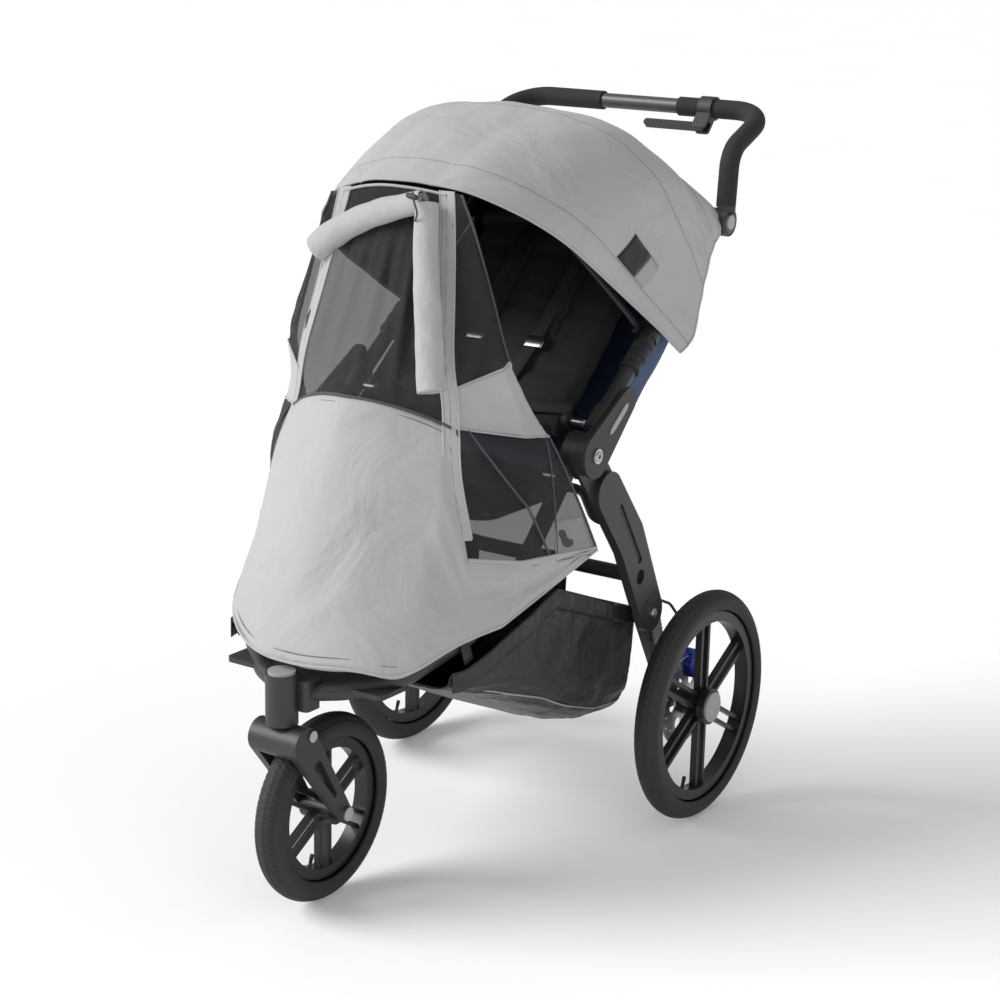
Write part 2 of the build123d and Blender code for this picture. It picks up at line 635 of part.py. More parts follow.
def make_basket():
    wall = 2.5
    tube_y, tube_z = cross_tube_place()
    rear_y = tube_y + cross_tube_radius + slip + wall
    floor = ((-345, 368), (80, 196), (rear_y + 12, 196))
    outline = make_face(Polyline(floor[0], floor[1], floor[2], (rear_y, 392), (-80, 478), (-318, 404),
                                 close=True))
    outline = fillet(outline.vertices().group_by(Axis.Y)[0], 18)
    half = 222.0
    body = extrude(side_plane(-half) * outline, 2 * half)
    inner = offset(outline, amount=-wall)
    hollow = extrude(side_plane(-half + wall) * inner, 2 * (half - wall))
    basket = body - hollow - Pos(0, 0, 6) * hollow
    for side in (-1, 1):
        basket += Pos(side * 90, rear_y - wall / 2, (388 + tube_z) / 2 + 4) * Box(36, wall, tube_z - 380)
    nodes["basket"] = basket


make_rear_wheel()
make_front_wheel()
make_arms()
make_head()
make_fork()
make_footrest()
make_rear_legs()
make_pedal()
make_swing_arms()
make_upper_frame()
make_handlebar()
make_brake_lever()
make_seat()
make_seat_shell()
make_canopy()
make_shield_front()
make_basket()

for node, shape in nodes.items():
    save(node, shape)
print(len(nodes), "nodes")
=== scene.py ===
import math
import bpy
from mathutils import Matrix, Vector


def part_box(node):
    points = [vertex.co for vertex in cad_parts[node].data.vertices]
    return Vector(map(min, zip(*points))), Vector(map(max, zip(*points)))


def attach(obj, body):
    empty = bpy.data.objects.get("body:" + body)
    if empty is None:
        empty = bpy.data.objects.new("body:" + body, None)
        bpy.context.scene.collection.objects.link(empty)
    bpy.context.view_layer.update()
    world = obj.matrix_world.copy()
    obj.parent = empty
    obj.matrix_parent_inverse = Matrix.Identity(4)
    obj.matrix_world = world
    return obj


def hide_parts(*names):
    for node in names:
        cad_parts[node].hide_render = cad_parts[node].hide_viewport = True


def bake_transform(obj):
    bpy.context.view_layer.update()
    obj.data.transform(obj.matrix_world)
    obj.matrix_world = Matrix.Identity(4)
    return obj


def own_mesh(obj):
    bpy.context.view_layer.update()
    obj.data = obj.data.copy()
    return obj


bl_info = {
    "name": "Jogging stroller dressing",
    "version": (1, 0, 0),
    "blender": (4, 5, 0),
    "location": "View3D > Sidebar > Stroller",
    "description": "Cloth, padding, tyres and finishes around the frame of a jogging stroller",
    "category": "Object",
}

import bpy
import numpy as np
from bpy.props import FloatProperty, FloatVectorProperty, IntProperty, PointerProperty
from mathutils import Matrix, Vector, noise

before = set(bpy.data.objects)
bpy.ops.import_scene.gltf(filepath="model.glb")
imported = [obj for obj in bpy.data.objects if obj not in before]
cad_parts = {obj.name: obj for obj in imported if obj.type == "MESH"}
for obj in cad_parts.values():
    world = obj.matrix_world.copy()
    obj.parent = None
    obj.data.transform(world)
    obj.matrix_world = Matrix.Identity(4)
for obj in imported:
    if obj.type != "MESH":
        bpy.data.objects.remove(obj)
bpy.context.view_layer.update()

MM = 0.001
SIDES = (("left", 1), ("right", -1))
RIM_RADIUS = {"front_tyre": 114, "rear_tyre_left": 164, "rear_tyre_right": 164}
MESH_WALL = 0.0006

# Side profile of the hood, (y, z): its lower edge and its crown, both from front to rear.
HOOD_ROOT = ((227, 812), (268, 836), (284, 885), (298, 925), (312, 955), (326, 980), (340, 992))
HOOD_CROWN = ((-203.6, 1107), (-82, 1166), (39, 1196), (152, 1191), (258, 1128), (350, 1044))
HOOD_HALF, HOOD_CORNER, HOOD_TAPER = 260.5, 178.0, 0.20
# Levels of the shield's wrap: height, half width, front, shoulder and rear edge, and how square it is.
WRAP_LEVELS = ((400, 240, -480, -300, 90, 2.5), (450, 247, -462, -272, 57, 2.3),
               (500, 249.6, -445, -232, 24, 2.0), (600, 249.6, -406, -204, -41, 1.8),
               (700, 249.6, -367, -190, -106, 1.7), (770, 222, -338, -178, -152, 1.6),
               (854, 205, -302, -215, -195, 1.7), (1106, 124, -204.2, -201, -198, 1.7))
# Heights on the shield: where the zip and the side binding end, the waist, the side band's top, the brow.
ZIP_FOOT, BINDING_REAR, WAIST, BAND_TOP, BROW = 566, 530, 757, 812, 1100
# Joint places in the side view, (y, z): the fold hub, the handlebar's pivot and the seat back's pin.
HUB, HANDLE_PIVOT, BACK_PIN = (-40, 690), (366, 1011), (5.5, 726)
# The camera's lens, its place in metres, and its azimuth, elevation and roll in degrees.
CAMERA_LENS, CAMERA_AT, CAMERA_TURN = 79.90, (2.0164, -2.8909, 1.5161), (34.023, 15.079, 1.275)
# How far out the zip runs at some heights, and how the child's right side hangs against the left.
ZIP_LINE = ((ZIP_FOOT, 200), (WAIST, 150), (BAND_TOP, 142), (1106, 95))
HANG = ((415, 14), (760, -8), (1106, -30))
HEM_FRONT, HEM_SLOPE = (-480.0, 415.0), math.tan(math.radians(12.8))
BELLY = ((6, 634), (55, 642), (100, 672), (165, 720), (228, 773), (285, 832), (340, 893), (372, 955))
BASKET_FLOOR = ((-340, 372), (-200, 314), (-60, 246), (40, 202), (100, 188), (166, 186))
BASKET_RIM = ((-318, 404), (-80, 476), (141, 391))


# ---------- settings ----------
class StrollerSizes(bpy.types.PropertyGroup):
    cloth_wall: FloatProperty(name="Cloth thickness", description="Thickness of the shield cloth",
                              default=0.0012, min=0.0004, max=0.003, unit="LENGTH")
    binding_radius: FloatProperty(name="Binding", description="Radius of the bound edges",
                                  default=0.0024, min=0.001, max=0.005, unit="LENGTH")
    roll_radius: FloatProperty(name="Roll", description="Radius of the rolled flaps",
                               default=0.018, min=0.008, max=0.022, unit="LENGTH")
    ruffle: FloatProperty(name="Ruffle", description="Depth of the soft wrinkles in the cloth",
                          default=0.003, min=0.0, max=0.008, unit="LENGTH")
    tread_depth: FloatProperty(name="Tread", description="Depth of the tyre tread",
                               default=0.0016, min=0.0, max=0.004, unit="LENGTH")
    tread_blocks: IntProperty(name="Tread blocks", description="Blocks round each tyre",
                              default=84, min=24, max=160)
    pad_swell: FloatProperty(name="Pad swell", description="How far a pad's cloth may move as it fills",
                             default=0.007, min=0.0, max=0.016, unit="LENGTH")


def colour(name, words, value):
    return FloatVectorProperty(name=name, description=words, subtype="COLOR", size=3, min=0, max=1,
                               default=value)


class StrollerColours(bpy.types.PropertyGroup):
    shield: colour("Shield cloth", "Light woven cloth of the hood and apron", (0.41, 0.41, 0.42))
    mesh: colour("Mesh", "Sheer mesh of the windows", (0.018, 0.018, 0.02))
    trim: colour("Trim", "Dark piping of the windows", (0.06, 0.06, 0.065))
    shell: colour("Seat shell", "Cloth of the seat bucket", (0.045, 0.085, 0.17))
    seat: colour("Seat cloth", "Cloth of the pads and straps", (0.014, 0.014, 0.015))
    basket: colour("Basket cloth", "Nylon of the basket", (0.012, 0.012, 0.013))
    powder: colour("Frame", "Powder coat of the frame", (0.036, 0.037, 0.039))
    alloy: colour("Wheels", "Satin black of the wheels", (0.02, 0.02, 0.022))
    rubber: colour("Tyres", "Tyre rubber", (0.022, 0.022, 0.023))
    caps: colour("Caps", "Light grey caps and buttons", (0.34, 0.34, 0.35))
    caliper: colour("Caliper", "Brake caliper", (0.02, 0.05, 0.42))


def sizes():
    return bpy.context.scene.stroller_sizes


def colours():
    return bpy.context.scene.stroller_colours


# ---------- finishes ----------
def new_finish(name, base, rough, metallic=0.0, grain=400.0, grain_depth=0.0002, blotch=6.0,
               shift=0.12, weave=0.0, sheen=0.0, coat=0.0, alpha=1.0, crease=0.0):
    """A finish whose colour drifts softly and whose surface carries a grain or a weave."""
    if name in bpy.data.materials:
        return bpy.data.materials[name]
    m = bpy.data.materials.new(name)
    m.use_nodes = True
    nodes, links = m.node_tree.nodes, m.node_tree.links
    shader = nodes["Principled BSDF"]
    shader.inputs["Metallic"].default_value = metallic
    shader.inputs["Sheen Weight"].default_value = sheen
    shader.inputs["Sheen Roughness"].default_value = 0.5
    shader.inputs["Coat Weight"].default_value = coat
    shader.inputs["Alpha"].default_value = alpha
    where = nodes.new("ShaderNodeTexCoord")

    def patchy(scale, detail):
        texture = nodes.new("ShaderNodeTexNoise")
        texture.inputs["Scale"].default_value = scale
        texture.inputs["Detail"].default_value = detail
        links.new(where.outputs["Object"], texture.inputs["Vector"])
        return texture

    patches, fine = patchy(blotch, 5), patchy(grain, 3)
    blend = nodes.new("ShaderNodeMix")
    blend.data_type = "FLOAT"
    blend.inputs[0].default_value = 0.45
    links.new(patches.outputs["Fac"], blend.inputs[2])
    links.new(fine.outputs["Fac"], blend.inputs[3])
    ramp = nodes.new("ShaderNodeValToRGB")
    low, high = (tuple(min(1.0, c * (1 + s * shift)) for c in base) for s in (-1, 1))
    ramp.color_ramp.elements[0].position, ramp.color_ramp.elements[1].position = 0.32, 0.68
    ramp.color_ramp.elements[0].color = (*low, 1)
    ramp.color_ramp.elements[1].color = (*high, 1)
    links.new(blend.outputs[0], ramp.inputs["Fac"])
    links.new(ramp.outputs["Color"], shader.inputs["Base Color"])
    gloss = nodes.new("ShaderNodeMapRange")
    gloss.inputs["To Min"].default_value = max(0.05, rough - 0.07)
    gloss.inputs["To Max"].default_value = min(1.0, rough + 0.07)
    links.new(patches.outputs["Fac"], gloss.inputs["Value"])
    links.new(gloss.outputs["Result"], shader.inputs["Roughness"])
    height = fine.outputs["Fac"]
    if weave:
        threads = []
        for axis in ("X", "Z"):
            band = nodes.new("ShaderNodeTexWave")
            band.bands_direction = axis
            band.inputs["Scale"].default_value = weave
            band.inputs["Distortion"].default_value = 0.6
            band.inputs["Detail Scale"].default_value = 3
            links.new(where.outputs["Object"], band.inputs["Vector"])
            threads.append(band.outputs["Fac"])
        cross = nodes.new("ShaderNodeMath")
        cross.operation = "MULTIPLY"
        links.new(threads[0], cross.inputs[0])
        links.new(threads[1], cross.inputs[1])
        both = nodes.new("ShaderNodeMath")
        both.operation = "ADD"
        links.new(cross.outputs[0], both.inputs[0])
        links.new(fine.outputs["Fac"], both.inputs[1])
        height = both.outputs[0]
    bump = nodes.new("ShaderNodeBump")
    bump.inputs["Distance"].default_value = grain_depth
    bump.inputs["Strength"].default_value = 0.7
    links.new(height, bump.inputs["Height"])
    if crease:
        folds = patchy(7, 4)
        folds.inputs["Distortion"].default_value = 0.8
        broad = nodes.new("ShaderNodeBump")
        broad.inputs["Distance"].default_value = crease
        broad.inputs["Strength"].default_value = 0.8
        links.new(folds.outputs["Fac"], broad.inputs["Height"])
        links.new(broad.outputs["Normal"], bump.inputs["Normal"])
    links.new(bump.outputs["Normal"], shader.inputs["Normal"])
    return m


def finish(kind):
    """The named finish, made when it is first asked for."""
    c = colours()
    recipes = {
        "shield": lambda: new_finish("shield cloth", c.shield, 0.78, grain=900, weave=260, blotch=3,
            shift=0.05, sheen=0.15, crease=0.016),
        "mesh": lambda: new_finish("sheer mesh", c.mesh, 0.7, grain=1400, weave=520,
            grain_depth=0.0003, shift=0.35, alpha=0.62),
        "light net": lambda: new_finish("light net", tuple(min(1, v * 0.8) for v in c.shield), 0.8,
            grain=700, weave=90, shift=0.3, alpha=0.7),
        "trim": lambda: new_finish("dark piping", c.trim, 0.6, grain=800, weave=300),
        "reflective": lambda: new_finish("reflective piping", (0.32, 0.32, 0.33), 0.35, grain=700,
            shift=0.1),
        "lining": lambda: new_finish("canopy lining", c.seat, 0.85, grain=800, weave=240, sheen=0.05),
        "shell": lambda: new_finish("melange shell cloth", c.shell, 0.8, grain=1300, weave=330,
            shift=0.45, blotch=5, sheen=0.1, crease=0.012),
        "seat": lambda: new_finish("seat cloth", c.seat, 0.8, grain=900, weave=220, shift=0.25,
            sheen=0.12, crease=0.012),
        "webbing": lambda: new_finish("strap webbing", tuple(v * 1.4 for v in c.seat), 0.6, grain=600,
            weave=420, grain_depth=0.0004),
        "basket": lambda: new_finish("basket nylon", c.basket, 0.42, grain=1000, weave=300, blotch=9,
            shift=0.3, crease=0.03),
        "powder": lambda: new_finish("charcoal powder coat", c.powder, 0.46, metallic=0.25, grain=1500,
            grain_depth=0.00008, shift=0.1),
        "plastic": lambda: new_finish("moulded plastic", tuple(v * 0.75 for v in c.powder), 0.55,
            grain=1100, grain_depth=0.00012, shift=0.12),
        "alloy": lambda: new_finish("satin black alloy", c.alloy, 0.36, metallic=0.35, grain=1300,
            grain_depth=0.00006, shift=0.12),
        "rubber": lambda: new_finish("tyre rubber", c.rubber, 0.72, grain=700, grain_depth=0.0002,
            shift=0.18),
        "foam": lambda: new_finish("grip foam", tuple(v * 0.8 for v in c.rubber), 0.85, grain=420,
            grain_depth=0.0006, shift=0.25),
        "caps": lambda: new_finish("light grey cap", c.caps, 0.42, grain=900, grain_depth=0.00005,
            shift=0.05),
        "steel": lambda: new_finish("brushed steel", (0.5, 0.5, 0.51), 0.32, metallic=1.0, grain=600,
            grain_depth=0.00008, shift=0.12),
        "caliper": lambda: new_finish("anodised caliper", c.caliper, 0.3, metallic=0.55, grain=900,
            grain_depth=0.00005, shift=0.1),
        "bar": lambda: new_finish("satin grey bar", tuple(v * 2.3 for v in c.powder), 0.4,
            metallic=0.4, grain=1200, grain_depth=0.00006),
        "cable": lambda: new_finish("cable sleeve", (0.01, 0.01, 0.011), 0.5, grain=800),
    }
    return recipes[kind]()


# ---------- mesh making ----------
def piece(name, points, faces, kind, body):
    """A smooth mesh from points in millimetres, riding on a body."""
    data = bpy.data.meshes.new(name)
    data.from_pydata([Vector(p) * MM for p in points], [], faces)
    data.update()
    for face in data.polygons:
        face.use_smooth = True
    data.materials.append(finish(kind))
    obj = bpy.data.objects.new(name, data)
    bpy.context.scene.collection.objects.link(obj)
    if body:
        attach(obj, body)
    return obj


def sheet_piece(name, place, across, along, kind, body, wall=None):
    """A sheet of cloth whose point at (a, b), each from 0 to 1, is place(a, b)."""
    points = [place(i / across, j / along) for j in range(along + 1) for i in range(across + 1)]
    row = across + 1
    faces = [(k, k + 1, k + row + 1, k + row)
             for j in range(along) for i in range(across) for k in (j * row + i,)]
    obj = piece(name, points, faces, kind, None)
    obj["cut_area"] = sum(p.area for p in obj.data.polygons)
    give_wall(obj, sizes().cloth_wall if wall is None else wall)
    if body:
        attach(obj, body)
    return obj


def settle(obj):
    """Apply every modifier of a piece."""
    bpy.context.view_layer.update()
    shape = obj.evaluated_get(bpy.context.evaluated_depsgraph_get())
    data = bpy.data.meshes.new_from_object(shape)
    obj.modifiers.clear()
    obj.data = data
    return obj


def give_wall(obj, wall):
    thick = obj.modifiers.new("wall", "SOLIDIFY")
    thick.thickness = wall
    thick.offset = 0
    return settle(obj)


def sweep(name, path, section, up_at, kind, body, closed=False):
    """A section, as (sideways, up) pairs, carried along a path; up_at(i) gives the up direction."""
    path = [Vector(p) for p in path]
    count, points = len(path), []
    for i, p in enumerate(path):
        ahead = path[(i + 1) % count] if closed or i + 1 < count else p
        behind = path[i - 1] if closed or i else p
        along = (ahead - behind).normalized()
        side = along.cross(Vector(up_at(i))).normalized()
        up = side.cross(along)
        points += [p + side * s + up * t for s, t in section]
    n = len(section)
    faces = ring_faces(count, n, ends=not closed)
    if closed:
        last = (count - 1) * n
        faces += [(last + k, last + (k + 1) % n, (k + 1) % n, k) for k in range(n)]
    return piece(name, points, faces, kind, body)


def ring_faces(rings, n, ends=True):
    """Faces of a loft through rings of n points, with its two ends closed if asked."""
    faces = [(i * n + k, i * n + (k + 1) % n, (i + 1) * n + (k + 1) % n, (i + 1) * n + k)
             for i in range(rings - 1) for k in range(n)]
    if ends:
        faces += [tuple(range(n - 1, -1, -1)), tuple(range((rings - 1) * n, rings * n))]
    return faces


def round_section(radius, sides=10, flat=1.0):
    return [(radius * math.cos(2 * math.pi * k / sides), radius * flat * math.sin(2 * math.pi * k / sides))
            for k in range(sides)]


def strap_section(width, depth):
    """A flat strap with soft edges."""
    a, b = width / 2, depth / 2
    c = min(a, b) * 0.7
    return [(a, -b + c), (a, b - c), (a - c, b), (-a + c, b), (-a, b - c), (-a, -b + c), (-a + c, -b),
            (a - c, -b)]


def smooth_between(before, a, b, after, t):
    """A share t of the way from a to b, on a smooth line that also heeds the points on either side."""
    return 0.5 * (2 * a + (b - before) * t + (2 * before - 5 * a + 4 * b - after) * t * t
                  + (3 * a - before - 3 * b + after) * t ** 3)


def line_through(points, spacing=9.0):
    """Points along a smooth line through the given ones."""
    points = [Vector(p) for p in points]
    out = []
    for i in range(len(points) - 1):
        before, a, b, after = (points[max(0, i - 1)], points[i], points[i + 1],
                               points[min(len(points) - 1, i + 2)])
        steps = max(2, int((b - a).length / spacing))
        out += [smooth_between(before, a, b, after, k / steps) for k in range(steps)]
    return out + [points[-1]]


def along_profile(profile, t):
    """The (y, z) point at a share t of a profile's points, on a smooth line."""
    n = len(profile) - 1
    i = min(int(t * n), n - 1)
    near = [Vector(profile[min(max(k, 0), n)]) for k in (i - 1, i, i + 1, i + 2)]
    return smooth_between(*near, t * n - i)


def lifted(place, a, b, lift):
    """The sheet's point at (a, b), raised along its normal."""
    e = 0.004
    da = place(min(a + e, 1), b) - place(max(a - e, 0), b)
    db = place(a, min(b + e, 1)) - place(a, max(b - e, 0))
    normal = da.cross(db)
    if normal.length < 1e-6:
        return place(a, b)
    return place(a, b) + normal.normalized() * lift


def ruffled(place, depth, cell_a, cell_b, seed=0.0, outward=1.0):
    """The same sheet with soft wrinkles, cell_a by cell_b of them across and along."""
    def moved(a, b):
        swell = noise.noise(Vector((a * cell_a, b * cell_b, seed)))
        crease = noise.noise(Vector((a * cell_a * 2.3, b * cell_b * 2.3, seed + 9)))
        return lifted(place, a, b, outward * depth * (swell + 0.5 * crease))
    return moved


def declare_cloth(obj, width, length, area=None):
    """Works out a cut of cloth's area and length without keeping either. Its area is the drawn panel's own,
    with a little ease, and its length is worked out from that area where the rectangle doesn't suit it, so
    neither is an independent size."""
    area = area or obj["cut_area"] * 1.02
    if not 0.35 < area / (width * length) < 0.98:
        length = area / (0.85 * width)


# ---------- hood ----------
def hoop_length(half, corner, top):
    """Half a hoop's length, from the middle of its top to its foot."""
    return top - corner + corner * math.pi / 2 + (half - corner)


def hoop_point(m, half, corner, top, crown=0.0):
    """Half a hoop's outline: how far out and how high it is at a distance m from the middle of its top."""
    flat, arc = half - corner, corner * math.pi / 2
    if m < flat:
        return m, top + crown * (1 - (m / flat) ** 2)
    if m < flat + arc:
        turn = (m - flat) / corner
        return flat + corner * math.sin(turn), top - corner * (1 - math.cos(turn))
    return half, top - corner - (m - flat - arc)


def hood_place(inset=0.0, front=0.0):
    """The hood's surface: a is across from the child's left edge to the right, b from front to rear."""
    def place(a, b):
        b = front + (1 - front) * b
        root = along_profile(HOOD_ROOT, b)
        crown = along_profile(HOOD_CROWN, b)
        up = (crown - root).normalized()
        height = (crown - root).length - inset
        half, corner = HOOD_HALF - inset, min(HOOD_CORNER, 0.9 * height) - inset
        narrow = HOOD_TAPER * max(0.0, 1 - b / 0.55) ** 1.5
        reach = (1 - 2 * a) * hoop_length(half, corner, height)
        x, h = hoop_point(abs(reach), half, corner, height, 9)
        spring = 0.5 - 0.5 * math.cos(2 * math.pi * min(max((b - 0.06) / 0.9, 0), 1) * 2)
        h -= 5 * spring * min(1, max(0, h - 120) / 200)
        x *= 1 - narrow * min(1, max(0, h / height)) ** 1.5
        droop = 34 * max(0.0, 1 - b / 0.35) * min(1, x / 150) ** 2 * min(1, h / 300) if reach < 0 else 0
        return Vector((math.copysign(x, reach), root.x + up.x * h, root.y + up.y * h - droop))
    return place


class STROLLER_OT_hood(bpy.types.Operator):
    """Sews the hood, its lining, its bound edges, its seams and its small label"""
    bl_idname = "stroller.hood"
    bl_label = "Hood"

    def execute(self, context):
        s = sizes()
        smooth = hood_place()
        soft = ruffled(smooth, s.ruffle / MM * 1.3, 9, 5, 3.0, -1)
        hood = sheet_piece("shield_hood_cloth", soft, 128, 72, "shield", None)
        lining = sheet_piece("canopy_lining", hood_place(6.0, 0.012), 96, 48, "lining", None)
        bound = s.binding_radius / MM
        edges = [[soft(k / 120, 0) for k in range(121)], [soft(k / 120, 1) for k in range(121)],
                 [soft(0, k / 30) for k in range(31)], [soft(1, k / 30) for k in range(31)]]
        trims = [self.line(f"hood_binding_{n}", path, bound, "shield") for n, path in enumerate(edges)]
        for n, b in enumerate((0.085, 0.44, 0.80)):
            path = [lifted(soft, k / 120, b, -0.5) for k in range(121)]
            trims.append(self.line(f"hood_seam_{n}", path, 1.1, "shield"))
            path = [lifted(soft, k / 120, b + 0.010, -0.4) for k in range(121)]
            trims.append(self.line(f"hood_stitch_{n}", path, 0.45, "trim"))
        trims += self.label(soft)
        for name, angle, height, body in (("front", 140, 436, "canopy_front"),
                                          ("rear", 55, 297, "upper_frame")):
            bow = self.bow(name, angle, height, body)
            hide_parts("canopy_bow_" + name)
        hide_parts("shield_hood")
        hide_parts("canopy_fabric")
        for obj in (hood, lining, *trims):
            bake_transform(obj)
        declare_cloth(hood, 1.20, 0.80)
        declare_cloth(lining, 1.18, 0.78)
        return {"FINISHED"}

    def bow(self, name, angle, height, body):
        """A flat sprung bow under the canopy, from one tube's hub over to the other."""
        turn, half, corner = math.radians(angle), 222.0, 165.0
        top, taper = height - 14, 0.19 if name == "front" else 0.0
        path = []
        for reach in np.linspace(-1, 1, 121) * hoop_length(half, corner, top):
            x, h = hoop_point(abs(reach), half, corner, top)
            x *= 1 - taper * (h / top) ** 1.5
            drop = 30 * min(1, x / 150) ** 2 * min(1, h / 300) if taper and reach < 0 else 0
            path.append(Vector((math.copysign(x, reach), 165 + h * math.cos(turn),
                                850 + h * math.sin(turn) - drop)))
        wide = Vector((0, -math.sin(turn), math.cos(turn)))
        return sweep(f"bow_{name}", path, strap_section(5, 12), lambda i: wide, "plastic", body)

    def line(self, name, path, radius, kind):
        middle = Vector((0, 60, 900))
        return sweep(name, path, round_section(radius, 8), lambda i: path[i] - middle, kind, None)

    def label(self, soft):
        """A plain two-tone tag sewn behind the brow seam on the child's left."""
        out = []
        for name, a0, a1, kind, slot in (("label_dark", 0.152, 0.196, "seat", "lining_black"),
                                         ("label_light", 0.128, 0.152, "reflective", "silver")):
            def spot(a, b, a0=a0, a1=a1):
                return lifted(soft, a0 + (a1 - a0) * a, 0.10 + 0.11 * b, -1.6)
            out.append(sheet_piece(name, spot, 6, 6, kind, None, wall=0.0008))
        for tag in out:
            area = tag["cut_area"]
            declare_cloth(tag, 0.055, area / 0.055 * 1.02, area=area)
        return out


# ---------- shield front ----------
def crumple_with_fold(obj):
    """Gives a piece of the shield its own copy of its mesh."""
    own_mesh(obj)


LEVEL_LINES = {}


def level_line(z):
    """The wrap's half outline at a height: reach, x and y of its points, from the middle of the front."""
    key = round(z * 2)
    if key not in LEVEL_LINES:
        heights = [r[0] for r in WRAP_LEVELS]
        probe = [min(max(z + d, heights[0]), heights[-1]) for d in (-28, -14, 0, 14, 28)]
        half, front, shoulder, rear, square = (
            float(np.mean(np.interp(probe, heights, [r[k] for r in WRAP_LEVELS]))) for k in range(1, 6))
        x = np.append(half * np.sin(np.linspace(0, math.pi / 2, 60)), half)
        y = front + (shoulder - front) * (x / half) ** square
        y[-1] = max(rear, shoulder + 1)
        reach = np.concatenate(([0], np.cumsum(np.hypot(np.diff(x), np.diff(y)))))
        LEVEL_LINES[key] = reach, x, y
    return LEVEL_LINES[key]


def wrap_point(reach, z):
    """A point of the wrap at a signed distance round it from the middle of its front."""
    line, xs, ys = level_line(z)
    x, y = float(np.interp(abs(reach), line, xs)), float(np.interp(abs(reach), line, ys))
    if reach < 0:
        z += float(np.interp(z, [h[0] for h in HANG], [h[1] for h in HANG])) * min(1, (x / 130) ** 2) * (
            1 - min(1, max(0, y + 300) / 250))
    return Vector((math.copysign(x, reach), y, z))


def rear_reach(z):
    return float(level_line(z)[0][-1])


def zip_reach(z):
    line, xs, _ = level_line(z)
    return float(np.interp(np.interp(z, [p[0] for p in ZIP_LINE], [p[1] for p in ZIP_LINE]), xs, line))


def hem_height(reach):
    z = 420.0
    for _ in range(8):
        z = HEM_FRONT[1] + (wrap_point(abs(reach), z).y - HEM_FRONT[0]) * HEM_SLOPE
    return z - 26 * math.exp(-((reach - 190) / 60) ** 2)


def wrap_lifted(reach, z, lift):
    """A point of the wrap raised off it, outwards for a positive lift."""
    p = wrap_point(reach, z)
    da = wrap_point(reach + 2, z) - wrap_point(reach - 2, z)
    db = wrap_point(reach, z + 2) - wrap_point(reach, z - 2)
    return p + da.cross(db).normalized() * lift


def between(p, q, t):
    return p[0] + (q[0] - p[0]) * t, p[1] + (q[1] - p[1]) * t


def side_panel(low, high, sign):
    """A panel on one side of the wrap between two lines low(a) and high(a) of (reach, z)."""
    def place(a, b):
        reach, z = between(low(a), high(a), b)
        return wrap_point(sign * reach, z)
    return place


def binding_line(a):
    return between((zip_reach(ZIP_FOOT), ZIP_FOOT), (rear_reach(BINDING_REAR) - 4, BINDING_REAR), a)


def band_low(a):
    start, end = zip_reach(WAIST), rear_reach(732)
    return start + (end - start) * a, WAIST - 25 * a


def band_high(a):
    start, end = zip_reach(BAND_TOP), rear_reach(854)
    return start + (end - start) * a, BAND_TOP + 42 * a


def brow_line(a):
    return zip_reach(BROW) + 26 * a, BROW - 4 * a


def waist_height(share):
    return 796 - 39 * share * share


def apron_top(m):
    """The apron's upper edge from the middle of the waist, down the zip and back along the binding."""
    if m < 0.3:
        t = m / 0.3
        return zip_reach(WAIST) * t, waist_height(t)
    if m < 0.48:
        t = (m - 0.3) / 0.18
        z = WAIST + (ZIP_FOOT - WAIST) * t
        return zip_reach(z), z
    return binding_line((m - 0.48) / 0.52)


def apron_place(a, b):
    m = abs(2 * a - 1)
    sign = 1 if a < 0.5 else -1
    reach_low = float(np.interp(m, (0, 0.3, 0.48, 1), (0, 180, 262, rear_reach(BINDING_REAR) + 2)))
    reach, z = between((reach_low, hem_height(sign * reach_low)), apron_top(m), b)
    p = wrap_point(sign * reach, z)
    pull = math.exp(-((m - 0.36) / 0.10) ** 2) * math.sin(math.pi * b) * 5
    return wrap_lifted(sign * reach, z, pull) if pull > 0.1 and p.length else p


